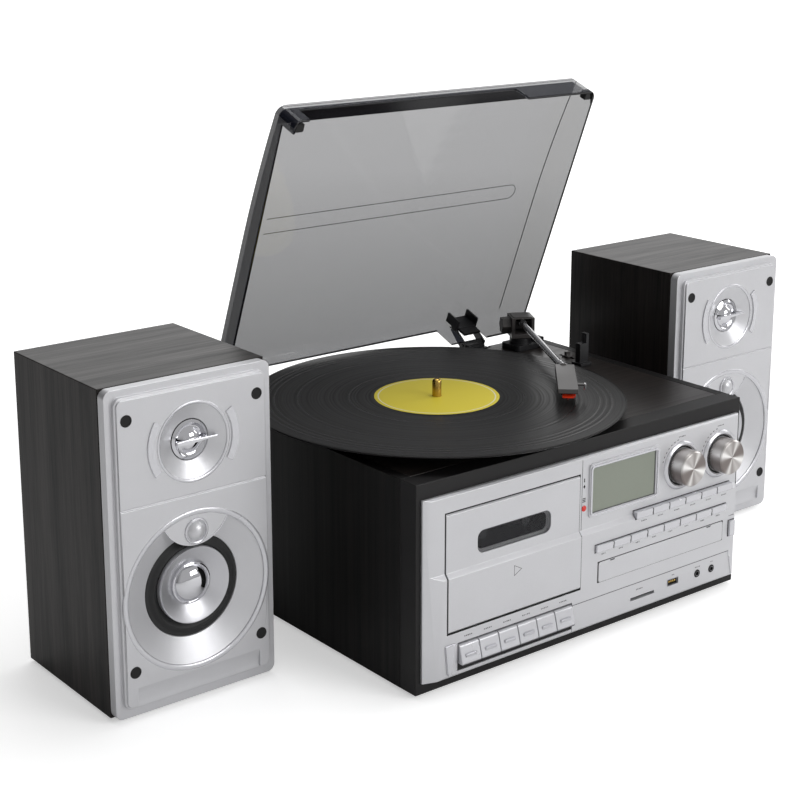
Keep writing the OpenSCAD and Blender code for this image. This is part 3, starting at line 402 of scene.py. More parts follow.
# %% Soft edges on the front panel
KEY_NAMES = ("record", "play", "rewind", "forward", "stop", "pause")
soften("fascia", silver_paint, 0.3, turn=20)
soften("cassette_door", silver_paint, 0.3, turn=20, shrink=(0.35, 0.3))
soften("cassette_deck", black_plastic, 0.3)
soften("supply_hub", hub_plastic, 0.15)
soften("take_up_hub", hub_plastic, 0.15)
soften("cd_tray", silver_paint, 0.3, shrink=(0.4, 0.0), corners=(1.8, -127))
soften("cd_drive", socket_steel, 0.3)
for name in KEY_NAMES:
    soften("key_" + name, silver_satin, 0.6, 3)
for row, count in (("source", 6), ("function", 8)):
    for number in range(1, count + 1):
        soften(f"{row}_button_{number}", silver_satin, 0.5, shrink=(0.1, 0.35))
soften("tray_button", silver_satin, 0.6, shrink=(0.35, 0.35))
soften("front_sockets", socket_steel, 0.1)
soften("main_board", board_green, 0.2)
print(len(dressed), "pieces have soft edges")

# %% Soft edges on the arm, the hinges, the drive and the terminals
for name, finish, edge in (
        ("tonearm_base", black_plastic, 0.4), ("tonearm_pivot", arm_plastic, 0.5),
        ("tonearm", arm_plastic, 0.4), ("cartridge", red_plastic, 0.25), ("arm_rest", black_plastic, 0.4),
        ("speed_lever", arm_plastic, 0.4), ("lid_hinges", black_plastic, 0.4),
        ("hinge_leaves", black_plastic, 0.3), ("drive_motor", socket_steel, 0.4),
        ("motor_pulley", brass, 0.15), ("drive_belt", black_rubber, 0.0),
        ("speaker_terminals", black_plastic, 0.3)):
    soften(name, finish, edge)
print(len(dressed), "pieces have soft edges")

# %% [markdown]
# ## The smoked cover
# The cover is clear acrylic with a grey dye, made here as a thin tinted sheet: its Alpha is the
# share that it hides. It hides a little more near the hinge, its left wall hides more than its plate,
# and its rim is black: all three are painted shade. The plate is flat in the solid, and is bowed here.

# %% Smoked acrylic
def smoked(name, color, clear, solid, z_from=0.17, z_to=0.4):
    """A thin tinted sheet with its own grey; where the share that it hides runs from one height to another,
    that change is painted shade.
    """
    finish, tree, shader = new_finish(name, IOR=1.49)
    effect = place_effect(tree, grain, Color=linear(*color), Scale=60.0, Tint=0.03,
                          Roughness=0.06, Spread=0.04)
    join(tree, effect, shader)
    place = add_node(tree, "ShaderNodeTexCoord").outputs["Object"]
    height = add_node(tree, "ShaderNodeSeparateXYZ", {"Vector": place}).outputs["Z"]
    tree.links.new(remap(tree, height, z_from, z_to, solid, clear), shader.inputs["Alpha"])
    return finish


# The plate's grey is the dye's own; that it hides 0.6 near the hinge and 0.47 higher up is painted shade. The
# wall's darker copy of the same acrylic and the rim's black finish are painted shade too.
smoke = smoked("smoked_acrylic", (40, 43, 54), 0.47, 0.6)
smoke_wall_painted_shade = smoked("smoked_wall_painted_shade", (26, 28, 38), 0.86, 0.9)
window_smoke = smoked("smoked_window", (40, 40, 44), 0.3, 0.3)
acrylic_edge_painted_shade = grained("acrylic_edge_painted_shade", (20, 20, 24), 0.2, 900, 0.1, 0.06, 0.02)
print("the cover's finish lets light through")

# %% The cover's own directions
HINGE_Y, HINGE_Z = 131.0, 167.0
OPEN_ANGLE = math.radians(68.5)
COVER_OPEN = (Matrix.Scale(MM, 4) @ Matrix.Translation((0, HINGE_Y, HINGE_Z)) @
              Matrix.Rotation(-OPEN_ANGLE, 4, "X") @ Matrix.Translation((0, -HINGE_Y, -HINGE_Z)))
COVER_SHUT = COVER_OPEN.inverted()
BOW, BOW_START, BOW_END, BOW_CUTS = 8.0, 6.0, -122.7, 10
PLATE_ABOVE, LEFT_WALL = 190, -150


def bow_at(y):
    """How far the plate has dropped at a depth, in mm, with the cover shut."""
    return BOW * (max(0.0, BOW_START - y) / (BOW_START - BOW_END)) ** 2


def bow_cover(work):
    """Curves the plate down to the front, then gives its left wall and its rim their darker finishes, which
    paint shade.
    """
    across = (COVER_OPEN.to_3x3() @ Vector((0, 1, 0))).normalized()
    for step in range(BOW_CUTS):
        y = BOW_START - 0.01 - (BOW_START - BOW_END - 2) * step / (BOW_CUTS - 1)
        bmesh.ops.bisect_plane(work, geom=list(work.verts) + list(work.edges) + list(work.faces),
                               plane_co=COVER_OPEN @ Vector((0, y, HINGE_Z)), plane_no=across, dist=1e-7)
    for v in work.verts:
        shut = COVER_SHUT @ v.co
        if shut.z > PLATE_ABOVE:
            shut.z -= bow_at(shut.y)
            v.co = COVER_OPEN @ shut
    work.normal_update()
    for face in work.faces:
        way = (COVER_SHUT.to_3x3() @ face.normal).normalized()
        middle = COVER_SHUT @ face.calc_center_median()
        if way.z < -0.5 and middle.z < PLATE_ABOVE:
            face.material_index = 2
        elif way.x < -0.5 and middle.x < LEFT_WALL:
            face.material_index = 1


soften("dust_cover", smoke, 0.8, 3, turn=20, shape=bow_cover, more_finishes=(smoke_wall_painted_shade, acrylic_edge_painted_shade))
soften("cassette_window", window_smoke, 0.3)
print("the plate drops", BOW, "mm at the front")

# %% [markdown]
# ## The display
# A liquid-crystal panel is a grey-green film under glass. It is unlit here.

# %% Display
lcd = grained("display_glass", (124, 130, 117), 0.35, 300, 0.05, 0.05, 0.02,
              Coat_Weight=0.6, Coat_Roughness=0.08)
soften("display_panel", lcd, 0.2)
print("display made")

# %% [markdown]
# ## Record, label and platter
# A record's grooves are far too fine to model. Rings in the bump and a stretched highlight
# give the sheen, and a few smoother bands separate the tracks; the rougher bands are also lighter in the base
# colour, which is a painted sheen.

# %% Vinyl
disc_low, disc_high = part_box("record")
disc_x, disc_y = (disc_low.x + disc_high.x) / 2, (disc_low.y + disc_high.y) / 2
disc_top = disc_high.z
vinyl, tree, shader = new_finish("vinyl", Roughness=0.3, Anisotropic=0.6, Specular_IOR_Level=0.22)
effect = place_effect(tree, rings, Centre=(disc_x, disc_y, 0), Across=(1, 1, 0), Rings_per_metre=900.0)
# Lighter rings in the base colour are a painted sheen; the change in roughness beside them is real.
tone = add_node(tree, "ShaderNodeValToRGB", {"Fac": effect["Band"]})
tone.color_ramp.elements[0].color = linear(7, 7, 8)
tone.color_ramp.elements[0].position = 0.35
tone.color_ramp.elements[1].color = linear(20, 19, 19)
tone.color_ramp.elements[1].position = 0.7
tree.links.new(tone.outputs[0], shader.inputs["Base Color"])
tree.links.new(remap(tree, effect["Band"], 0.3, 0.7, 0.2, 0.5), shader.inputs["Roughness"])
raise_surface(tree, effect, shader, 0.35, 0.03)
swirl = add_node(tree, "ShaderNodeTangent", direction_type="RADIAL", axis="Z")
tree.links.new(swirl.outputs[0], shader.inputs["Tangent"])
soften("record", vinyl, 0.0)
soften("platter", grained("platter_black", (40, 40, 42), 0.35, 900, 0.2, 0.1, 0.2), 0.3)
print("record radius", round(1000 * (disc_high.x - disc_x), 1), "mm")

# %% [markdown]
# ## Turned pieces and trim
# Cones, domes, rings and dials are turned: a profile of radius and height goes once round an
# axis. One helper makes them all, facing the front or facing up. Two more make flat shapes
# and raised lines. What they make rides on the main unit, unless told otherwise.

# %% Helpers for turned pieces, flat shapes and lines
def turned(name, profile, centre, finish, body="main_unit", facing="front", steps=96):
    """profile: (radius, height) in mm from the back to the front; centre in metres."""
    work = bmesh.new()
    rows = []
    for r, h in profile:
        if r < 1e-6:
            rows.append([work.verts.new((0, 0, h))])
        else:
            angles = [2 * math.pi * k / steps for k in range(steps)]
            rows.append([work.verts.new((r * math.cos(a), r * math.sin(a), h)) for a in angles])
    for low, high in zip(rows, rows[1:]):
        for k in range(steps):
            n = (k + 1) % steps
            ring = [low[k % len(low)], low[n % len(low)], high[n % len(high)], high[k % len(high)]]
            ring = [v for i, v in enumerate(ring) if v not in ring[:i]]
            if len(ring) > 2:
                work.faces.new(ring)
    bmesh.ops.remove_doubles(work, verts=work.verts, dist=0.0001)
    bmesh.ops.recalc_face_normals(work, faces=work.faces)
    for face in work.faces:
        face.smooth = True
    spin = Matrix.Rotation(math.radians(90), 4, "X") if facing == "front" else Matrix.Identity(4)
    work.transform(Matrix.Translation(centre) @ spin @ Matrix.Scale(MM, 4))
    mesh = bpy.data.meshes.new(name)
    work.to_mesh(mesh)
    work.free()
    mesh.set_sharp_from_angle(angle=math.radians(40))
    return show(name, mesh, finish, body)


FACING = Matrix(((MM, 0, 0, 0), (0, 0, -MM, 0), (0, MM, 0, 0), (0, 0, 0, 1)))


def finish_shape(name, work, place, finish, body, edge):
    bmesh.ops.recalc_face_normals(work, faces=work.faces)
    if edge:
        bmesh.ops.bevel(work, geom=list(work.edges), offset=edge, segments=2, affect="EDGES")
    work.transform(place)
    bmesh.ops.recalc_face_normals(work, faces=work.faces)
    mesh = bpy.data.meshes.new(name)
    work.to_mesh(mesh)
    work.free()
    return show(name, mesh, finish, body)


def plate(name, outline, low, high, finish, body="main_unit", edge=0.0, place=FACING):
    """A flat shape of (u, v) corners in mm, between two heights; FACING looks to the front."""
    work = bmesh.new()
    top = [work.verts.new((u, v, high)) for u, v in outline]
    foot = [work.verts.new((u, v, low)) for u, v in outline]
    work.faces.new(top)
    work.faces.new(list(reversed(foot)))
    for k in range(len(outline)):
        n = (k + 1) % len(outline)
        work.faces.new([top[k], foot[k], foot[n], top[n]])
    return finish_shape(name, work, place, finish, body, edge)


def stroke(name, paths, width, low, high, finish, body="main_unit", place=FACING, drop=None):
    """Raised lines in one piece: each path is (points, closed), its width and heights in mm."""
    work = bmesh.new()
    for points, closed in paths:
        count = len(points)
        sections = []
        for k, (u, v) in enumerate(points):
            before = points[k - 1] if closed or k else points[k]
            after = points[(k + 1) % count] if closed or k < count - 1 else points[k]
            along = Vector((after[0] - before[0], after[1] - before[1])).normalized()
            side = Vector((-along.y, along.x)) * width / 2
            lower = drop(v) if drop else 0.0
            corners = ((u - side.x, v - side.y, low), (u + side.x, v + side.y, low),
                       (u + side.x, v + side.y, high), (u - side.x, v - side.y, high))
            sections.append([work.verts.new((a, b, h - lower)) for a, b, h in corners])
        for k in range(count if closed else count - 1):
            here, there = sections[k], sections[(k + 1) % count]
            for c in range(4):
                d = (c + 1) % 4
                work.faces.new([here[c], here[d], there[d], there[c]])
        if not closed:
            work.faces.new(sections[0])
            work.faces.new(sections[-1])
    return finish_shape(name, work, place, finish, body, 0.0)


def arc(cx, cz, r, start, end, steps=24):
    return [(cx + r * math.cos(math.radians(start + (end - start) * k / steps)),
             cz + r * math.sin(math.radians(start + (end - start) * k / steps))) for k in range(steps + 1)]


def rounded_loop(x0, x1, z0, z1, r, steps=6):
    corners = [(x1 - r, z1 - r, 0), (x0 + r, z1 - r, 90), (x0 + r, z0 + r, 180), (x1 - r, z0 + r, 270)]
    return [p for cx, cz, a in corners for p in arc(cx, cz, r, a, a + 90, steps)]


def mark_line(name, points, width, low, high, finish=black_and_painted_gap_shade, body="main_unit", closed=False):
    """One raised line on the front; by default in the black finish, which in a gap paints the shade there."""
    return stroke(name, [(points, closed)], width, low, high, finish, body)


print("shape helpers ready")

# %% Label and spindle tip
label_yellow, tree, shader = new_finish("label_paper", Roughness=0.5)
effect = place_effect(tree, rings, Centre=(disc_x, disc_y, 0), Across=(1, 1, 0), Rings_per_metre=400.0)
ramp = add_node(tree, "ShaderNodeValToRGB", {"Fac": calculate(tree, "MULTIPLY", effect["Radius"], 20.0)})
ramp.color_ramp.interpolation = "CONSTANT"
ramp.color_ramp.elements[0].color = linear(216, 199, 58)
ramp.color_ramp.elements[1].position = 0.925
ramp.color_ramp.elements[1].color = linear(222, 218, 190)
last = ramp.color_ramp.elements.new(0.945)
last.color = linear(216, 199, 58)
tree.links.new(ramp.outputs[0], shader.inputs["Base Color"])
pulp = place_effect(tree, grain, Color=(1, 1, 1, 1), Scale=700.0, Tint=0.1, Roughness=0.5, Spread=0.1)
tree.links.new(pulp["Roughness"], shader.inputs["Roughness"])
turned("label", [(3.8, -0.3), (50, -0.3), (50, 0.04), (49.7, 0.1), (3.9, 0.1), (3.8, -0.3)],
       (disc_x, disc_y, disc_top), label_yellow, "turntable", "up")
turned("spindle", [(0, -1), (3.7, -1), (3.7, 12), (3.3, 13.2), (2.2, 14.1), (0, 14.6)],
       (disc_x, disc_y, disc_top), brass, "turntable", "up", 48)
print("label made")

# %% [markdown]
# ## Knobs
# The two knobs have a spun face, with fine rings in its bump, and a finely ribbed side. The bright
# wedges on the face are painted highlights. The dial behind each has a bright ring, and a black ring paints
# the shade in the gap round the knob.

# %% Painted highlight wedges on the knobs' spun faces
knob_boxes = {name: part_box(name) for name in ("tuning_knob", "volume_knob")}


def spun_face_painted_wedges(name, cx, cz, turn):
    finish, tree, shader = new_finish(name, Metallic=0.85, Roughness=0.3)
    place = add_node(tree, "ShaderNodeTexCoord").outputs["Object"]
    parts = add_node(tree, "ShaderNodeSeparateXYZ", {"Vector": place}).outputs
    angle = calculate(tree, "ARCTAN2", calculate(tree, "SUBTRACT", parts["Z"], cz),
                      calculate(tree, "SUBTRACT", parts["X"], cx))
    total = None
    # Each lobe is a painted highlight: a bright wedge set into the base colour by the angle round the axis.
    for lean, power, share in ((turn, 26.0, 1.0), (turn + 0.75, 10.0, 0.45), (turn + 1.6, 40.0, 0.7)):
        lobe = calculate(tree, "ABSOLUTE", calculate(tree, "COSINE", calculate(tree, "ADD", angle, lean)))
        lobe = calculate(tree, "MULTIPLY", calculate(tree, "POWER", lobe, power), share)
        total = lobe if total is None else calculate(tree, "ADD", total, lobe)
    ramp = add_node(tree, "ShaderNodeValToRGB", {"Fac": total})
    ramp.color_ramp.elements[0].color = linear(128, 120, 117)
    ramp.color_ramp.elements[1].color = linear(250, 248, 246)
    tree.links.new(ramp.outputs[0], shader.inputs["Base Color"])
    effect = place_effect(tree, rings, Centre=(cx, 0, cz), Across=(1, 0, 1), Rings_per_metre=2400.0)
    raise_surface(tree, effect, shader, 0.15, 0.02)
    return finish


print("two spun faces to make")

# %% [markdown]
# Ribs round a knob repeat by rule, so Geometry Nodes make them: a ring of points, one small bar
# on each, turned to point outwards. The tree's inputs are the count, the radius and the bar's size.

# %% A tree that sets bars round a circle
def set_inputs(modifier, tree, values):
    for item in tree.interface.items_tree:
        if item.item_type == "SOCKET" and item.in_out == "INPUT" and item.name in values:
            modifier[item.identifier] = values[item.name]


def bars_tree(name, sockets):
    """A new tree with named inputs that puts out geometry, and what it is given."""
    tree = bpy.data.node_groups.new(name, "GeometryNodeTree")
    for label, kind in sockets:
        tree.interface.new_socket(label, in_out="INPUT", socket_type=kind)
    tree.interface.new_socket("Geometry", in_out="OUTPUT", socket_type="NodeSocketGeometry")
    return tree, tree.nodes.new("NodeGroupInput").outputs


def set_out_bars(tree, given, points, **placing):
    """Sets a bar of the given size and finish on each point, as real geometry."""
    bar = add_node(tree, "GeometryNodeMeshCube", {"Size": given["Bar"]})
    copies = add_node(tree, "GeometryNodeInstanceOnPoints",
                      {"Points": points, "Instance": bar.outputs["Mesh"], **placing})
    solid_bars = add_node(tree, "GeometryNodeRealizeInstances", {"Geometry": copies.outputs[0]})
    painted = add_node(tree, "GeometryNodeSetMaterial",
                       {"Geometry": solid_bars.outputs[0], "Material": given["Finish"]})
    tree.links.new(painted.outputs[0], tree.nodes.new("NodeGroupOutput").inputs[0])


WHOLE, MATERIAL = "NodeSocketInt", "NodeSocketMaterial"
bars_round, given = bars_tree("bars_round_a_circle", (("Count", WHOLE), ("Radius", FLOAT), ("Bar", VECTOR),
                                                      ("Finish", MATERIAL)))
circle = add_node(bars_round, "GeometryNodeMeshCircle",
                  {"Vertices": given["Count"], "Radius": given["Radius"]})
spot = add_node(bars_round, "GeometryNodeInputPosition")
outward = add_node(bars_round, "FunctionNodeAlignRotationToVector", {"Vector": spot.outputs[0]}, axis="X")
set_out_bars(bars_round, given, circle.outputs["Mesh"], Rotation=outward.outputs[0])
print("tree made:", bars_round.name)

# %% Knobs, their ribs and their dials
knob_ribs = grained("knob_ribs", (186, 182, 180), 0.3, 900, 0.08, 0.1, 0.05, Metallic=0.9)
DIAL_Y, RIBS_Y = -0.129, -0.1318


def grow(tree, name, values, finish, body, place):
    """Runs a tree once, keeps its mesh and puts it in its place."""
    seed_mesh = bpy.data.meshes.new(name + "_seed")
    maker = bpy.data.objects.new(name + "_maker", seed_mesh)
    scene.collection.objects.link(maker)
    modifier = maker.modifiers.new("grow", "NODES")
    modifier.node_group = tree
    set_inputs(modifier, tree, dict(values, Finish=finish))
    graph = bpy.context.evaluated_depsgraph_get()
    grown = bpy.data.meshes.new_from_object(maker.evaluated_get(graph), depsgraph=graph)
    bpy.data.objects.remove(maker)
    grown.transform(place)
    return show(name, grown, finish, body)


for name, (low, high) in knob_boxes.items():
    cx, cz = (low.x + high.x) / 2, (low.z + high.z) / 2
    at_dial = Matrix.Translation((cx, 0, cz)) @ FACING
    soften(name, spun_face_painted_wedges(name + "_face", cx, cz, 0.35), 0.3)
    depth = Matrix.Translation((cx, RIBS_Y, cz)) @ FACING
    grow(bars_round, name + "_ribs", {"Count": 72, "Radius": 14.4, "Bar": (0.35, 0.6, 2.4)}, knob_ribs,
         name, depth)
    turned(name + "_dial", [(16.5, -0.5), (16.6, 1.5), (17.3, 2.1), (18.1, 1.9), (18.8, 1.3), (19.6, 0.9),
                            (20.2, 0.1), (20.2, -0.3), (16.5, -0.5)],
           (cx, DIAL_Y, cz), silver_satin)
    # A black ring round the knob's foot paints the shade in the gap between the knob and the dial.
    turned(name + "_gap", [(14.7, -1.6), (14.7, 0.35), (16.4, 0.35), (16.4, -1.6), (14.7, -1.6)],
           (cx, DIAL_Y, cz), black_and_painted_gap_shade)
    ticks = [(arc(0, 0, 22.2, a, a + 4, 3), False) for a in range(100, 170, 10)]
    ticks += [(arc(0, 0, 12.9, a, a + 3, 2), False) for a in range(110, 260, 25)]
    stroke(name + "_ticks", ticks, 0.7, 129.0, 129.06, grey_print_and_painted_shade, place=at_dial)
print("knobs made")

# %% [markdown]
# ## Loudspeakers
# Each baffle is one silver moulding. The woofer is a silver cone in a black rubber roll with a
# chrome cap; the tweeter is a chrome dome under a slanting bar.

# %% Baffles
for name in ("left_baffle", "right_baffle"):
    soften(name, silver_paint, 0.5, 2, turn=14)
speaker_places = {}
for side in ("left", "right"):
    low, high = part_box(side + "_case")
    speaker_places[side] = ((low.x + high.x) / 2, low.y, low.z)
print("loudspeakers stand at", {k: [round(1000 * c) for c in v] for k, v in speaker_places.items()})

# %% Woofers and tweeters
cone_satin = grained("cone_satin", (196, 196, 200), 0.3, 500, 0.05, 0.08, 0.05, Metallic=0.75)
WOOFER_UP, TWEETER_UP, BADGE_UP, BAFFLE_AHEAD = 84, 194, 128, 12.5


def from_case(place, ahead, up, aside=0.0):
    """A point so many mm ahead of, above and beside the middle of a case's foot."""
    return (place[0] + aside * MM, place[1] - ahead * MM, place[2] + up * MM)


for side, at_case in speaker_places.items():
    centre = from_case(at_case, 3.5, WOOFER_UP)
    forward = (centre[0], centre[1], centre[2] + 1.8 * MM)
    turned(side + "_cone",
           [(28.6, -2.5), (28.6, 4.4), (28.2, 5.0), (27.6, 4.9), (16.2, -1.2), (15.2, -1.6), (15.2, -2.5),
            (28.6, -2.5)], forward, cone_satin)
    turned(side + "_cap",
           [(0, -2.4), (15.4, -2.4), (15.6, -1.0), (15.4, 0.2), (14.6, 0.5), (14.0, 0.1), (13.2, 1.4),
            (11.2, 3.2), (8.2, 4.7), (4.4, 5.6), (0, 5.9)], forward, chrome)
    turned(side + "_roll",
           [(26.8, -0.6), (27.4, 0.0), (28.9, 0.2), (29.8, 0.9), (31.4, 1.6), (33.2, 1.0), (34.4, -0.2),
            (35.6, -0.6), (37.6, -0.5), (37.6, -3), (26.8, -3), (26.8, -0.6)], centre, black_rubber)
    turned(side + "_magnet",
           [(0, -41), (34, -41), (34, -23), (26, -23), (37.6, -6), (37.6, -3.2), (12.4, -8.8), (0, -8.8)],
           centre, black_satin)
    turned(side + "_flare_lip",
           [(55.9, -2.4), (56.0, -0.2), (56.6, 0.3), (58.6, 0.55), (59.7, 0.4), (60.2, -0.1), (60.2, -0.8),
            (57.4, -2.0), (55.9, -2.4)], from_case(at_case, BAFFLE_AHEAD, WOOFER_UP), silver_satin)
    bowl = from_case(at_case, 6.5, TWEETER_UP)
    turned(side + "_dome",
           [(14.5, 0.2), (12.4, 1.4), (11.2, 0.2), (9.8, -0.2), (8.4, 0.6), (7.2, 2.2), (5, 3.6),
            (2.6, 4.3), (0, 4.5), (0, -0.6), (14.5, -0.6)], bowl, chrome)
    turned(side + "_dome_back",
           [(0, -24), (15.8, -24), (16, -11), (20.8, -9), (20.8, -6.6), (14.5, -6.5), (14.4, -0.7),
            (0, -0.7)], bowl, black_satin)
    turned(side + "_dish_lip",
           [(26.9, -1.9), (27.1, -0.1), (27.7, 0.35), (28.6, 0.5), (29.3, 0.3), (29.6, -0.1), (29.6, -0.8),
            (28.0, -1.6), (26.9, -1.9)], from_case(at_case, BAFFLE_AHEAD, TWEETER_UP), silver_satin)
    at_bowl = Matrix.Translation(from_case(at_case, 0, TWEETER_UP)) @ FACING
    plate(side + "_bar",
          [(-13, -1.5), (-6, -1.8), (8, -0.9), (20, 0.1), (20, 1.1), (8, 1.2), (-6, 1.6), (-13, 1.2)],
          8.6, 12.2, chrome, edge=0.35, place=at_bowl)
    for wing, start, end in (("right", -33, 33), ("left", 147, 213)):
        plate(f"{side}_{wing}_wing", arc(0, 0, 37.2, start, end, 20) + arc(0, 0, 31, end, start, 20),
              12.3, 13.3, silver_satin, edge=0.4, place=at_bowl)
    turned(side + "_badge_ring",
           [(7.9, -0.4), (8.0, 0.9), (8.6, 1.2), (9.3, 1.0), (9.8, 0.1), (9.8, -0.4), (7.9, -0.4)],
           from_case(at_case, 12.2, BADGE_UP), silver_satin)
    stroke(side + "_lid_edge", [(arc(0, 146, 28, 203, 337, 40), False)], 0.7, 11.9, 12.5, silver_satin,
           place=Matrix.Translation(at_case) @ FACING)
    for row, up in (("low", 35.5), ("high", 219)):
        for column, aside in (("left", -52.5), ("right", 52.5)):
            turned(f"{side}_peg_{row}_{column}",
                   [(0, -3), (3.1, -3), (3.2, 0.1), (3.7, 0.4), (4.3, 0.3), (4.4, -0.2), (4.4, -0.3),
                    (3.0, 0.05), (0, -0.9)],
                   from_case(at_case, BAFFLE_AHEAD, up, aside), black_and_painted_gap_shade, steps=32)
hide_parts("woofers")
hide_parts("tweeters")
print("drivers made")

# %% [markdown]
# ## Small things on the front panel
# Dark lines of painted shade in the gaps round the moving parts, printed marks, the lamp and the sockets make
# the panel read
# as many parts. Words are left out: short bars stand where the real one has printing.

# %% Painted shade in the gaps round the door, the tray and its button
UPPER, LOWER = 129.0, 132.0
# The dark lines in the gaps sit a little behind the face and paint the shade there.
UPPER_GAP_SHADE, LOWER_GAP_SHADE = (127.5, UPPER - 0.1), (128.5, LOWER - 0.1)
door_low, door_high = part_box("cassette_door")
tray_low, tray_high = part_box("cd_tray")
DOOR_LEFT, DOOR_RIGHT, DOOR_FOOT, DOOR_TOP = -147.5, -14.5, 46.8, 138.3
for name, x in (("left", DOOR_LEFT), ("right", DOOR_RIGHT)):
    mark_line(f"door_gap_{name}_low", [(x, DOOR_FOOT - 0.4), (x, 89.8)], 1.0, *LOWER_GAP_SHADE)
    mark_line(f"door_gap_{name}_high", [(x, 92.6), (x, DOOR_TOP + 0.3)], 1.0, *UPPER_GAP_SHADE)
for name, z, width, gap_shade_depths in (("top", DOOR_TOP + 0.1, 0.9, UPPER_GAP_SHADE),
                              ("foot", DOOR_FOOT - 0.3, 1.0, LOWER_GAP_SHADE)):
    mark_line("door_gap_" + name, [(DOOR_LEFT - 0.4, z), (DOOR_RIGHT + 0.4, z)], width, *gap_shade_depths)
mark_line("tray_gap", rounded_loop(3.6, 148.9, 46.75, 64.05, 2.0), 0.9, *LOWER_GAP_SHADE, closed=True)
mark_line("tray_button_gap", rounded_loop(155.0, 162.4, 48.2, 62.6, 0.8), 0.7, *LOWER_GAP_SHADE, closed=True)
BUTTON_PITCH, HALF_ROW = 18.85, 3.35
SOURCE_ROW, FUNCTION_ROW = ("source", 157.7, 92.5, 6), ("function", 151.3, 75.6, 8)
# Dark lines above and below each row of buttons paint the shade in the gaps there.
for (name, right, z, count), top in ((SOURCE_ROW, 128.8), (FUNCTION_ROW, 131.8)):
    left = right - count * BUTTON_PITCH
    for side, up, front in (("above", z + HALF_ROW, top), ("below", z - HALF_ROW, 131.8)):
        mark_line(f"{name}_gap_{side}", [(left - 0.2, up), (right + 0.2, up)], 0.6, 126.0, front)
mark_line("key_slot_shade", [(-137.7, 18.3), (-23.2, 18.3)], 4.7, 124.0, 131.3)
mark_line("panel_seam", [(-12.2, 92.9), (-12.2, 149.6)], 0.45, 128.9, 129.05, grey_print_and_painted_shade)
for name, x in (("left", 19.3), ("right", 130.4)):
    plate("tray_notch_" + name, [(x - 3, 63.4), (x + 3, 63.4), (x + 2, 62.3), (x - 2, 62.3)], 132.3, 132.66,
          grey_print_and_painted_shade, "cd_tray")
widths = [round(1000 * (high.x - low.x)) for low, high in ((door_low, door_high), (tray_low, tray_high))]
print("gaps lined round a door and a tray,", widths, "mm wide")

# %% Painted shade in the gaps between the buttons, each line on the button to its left
for (name, right, z, count), front in ((SOURCE_ROW, 133.4), (FUNCTION_ROW, 134.2)):
    for number in range(1, count):
        x = right - (count - number) * BUTTON_PITCH - 0.35
        path = [(x - 0.5, z + 2.9), (x + 0.15, z + 1.9), (x + 0.1, z + 0.7), (x - 0.45, z - 0.6),
                (x - 0.2, z - 2.9)]
        mark_line(f"{name}_button_gap_shade_{number}", path, 0.6, front - 0.2, front + 0.06,
                  body=f"{name}_button_{number}")
print("dividers made")

# %% Marks on the door, and the lamp with its marks
mark_line("play_mark", [(-83.8, 84.2), (-83.8, 76.2), (-76.6, 80.2)], 0.65, 132.5, 132.66,
          body="cassette_door", closed=True)
plate("door_notch", [(-82.8, 46.9), (-79.4, 46.9), (-81.1, 48.5)], 132.4, 132.68, black_and_painted_gap_shade, "cassette_door")
LAMP_X, LAMP_Z = -9.9, 110.5
turned("record_lamp", [(0, -1.2), (2.25, -1.2), (2.35, 0.3), (1.7, 0.8), (0, 1.0)],
       (LAMP_X * MM, -UPPER * MM, LAMP_Z * MM), lamp_red, steps=32)
stroke("lamp_marks", [([(LAMP_X - 1.6, z), (LAMP_X + 1.6, z)], False) for z in (115.9, 117.2, 118.5)], 0.7,
       128.9, 129.06, black_and_painted_gap_shade)
plate("remote_dot", [(LAMP_X - 1.1, 128), (LAMP_X, 126.4), (LAMP_X + 1.1, 128), (LAMP_X, 129.6)],
      128.9, 129.06, black_and_painted_gap_shade)
mark_line("remote_bar", [(LAMP_X, 131.6), (LAMP_X, 134.6)], 0.9, 128.9, 129.06)
print("marks made")

# %% Bezel of the display
GLASS_X, GLASS_Z = 32.6, 123.2
bezel = rounded_loop(GLASS_X - 36.2, GLASS_X + 36.9, GLASS_Z - 19.6, GLASS_Z + 19.4, 2.6)
mark_line("display_bezel", bezel, 1.5, 129.8, 131.2, silver_satin, closed=True)
# A grey line inside the bezel paints the shade where the glass is recessed.
shade = rounded_loop(GLASS_X - 34.6, GLASS_X + 34.6, GLASS_Z - 18.1, GLASS_Z + 18.1, 0.8)
mark_line("display_shade", shade, 0.7, 129.0, 129.6, grey_print_and_painted_shade, closed=True)
print("bezel made")

# %% Piano keys: a pad on each, and the rib beside them
KEY_PITCH, FIRST_KEY, HALF_KEY, KEY_LEAN = 19, -137, 9.2, math.radians(15.6)
for index, name in enumerate(KEY_NAMES):
    middle = FIRST_KEY + KEY_PITCH * index + HALF_KEY
    on_key = Matrix.Translation((0, -135.35 * MM, 28.2 * MM)) @ Matrix.Rotation(KEY_LEAN, 4, "X") @ FACING
    plate(f"key_pad_{name}", rounded_loop(middle - 5.6, middle + 5.6, -4.4, 1.2, 1.0, 3), -0.4, 1.2,
          silver_satin, "key_" + name, 0.5, on_key)
    mark_line(f"key_edge_{name}", [(middle - 9.0, 21.5), (middle + 9.0, 21.5)], 0.35, 135.5, 136.9,
              grey_print_and_painted_shade, "key_" + name)
plate("rib", [(-150.4, 38.6), (-139.2, 38.6), (-143.0, 16.4), (-143.9, 14.3), (-145.6, 13.5), (-147.3, 14.3),
              (-148.2, 16.4)], 131.6, 133.1, silver_satin, edge=0.7)
print("keys dressed")

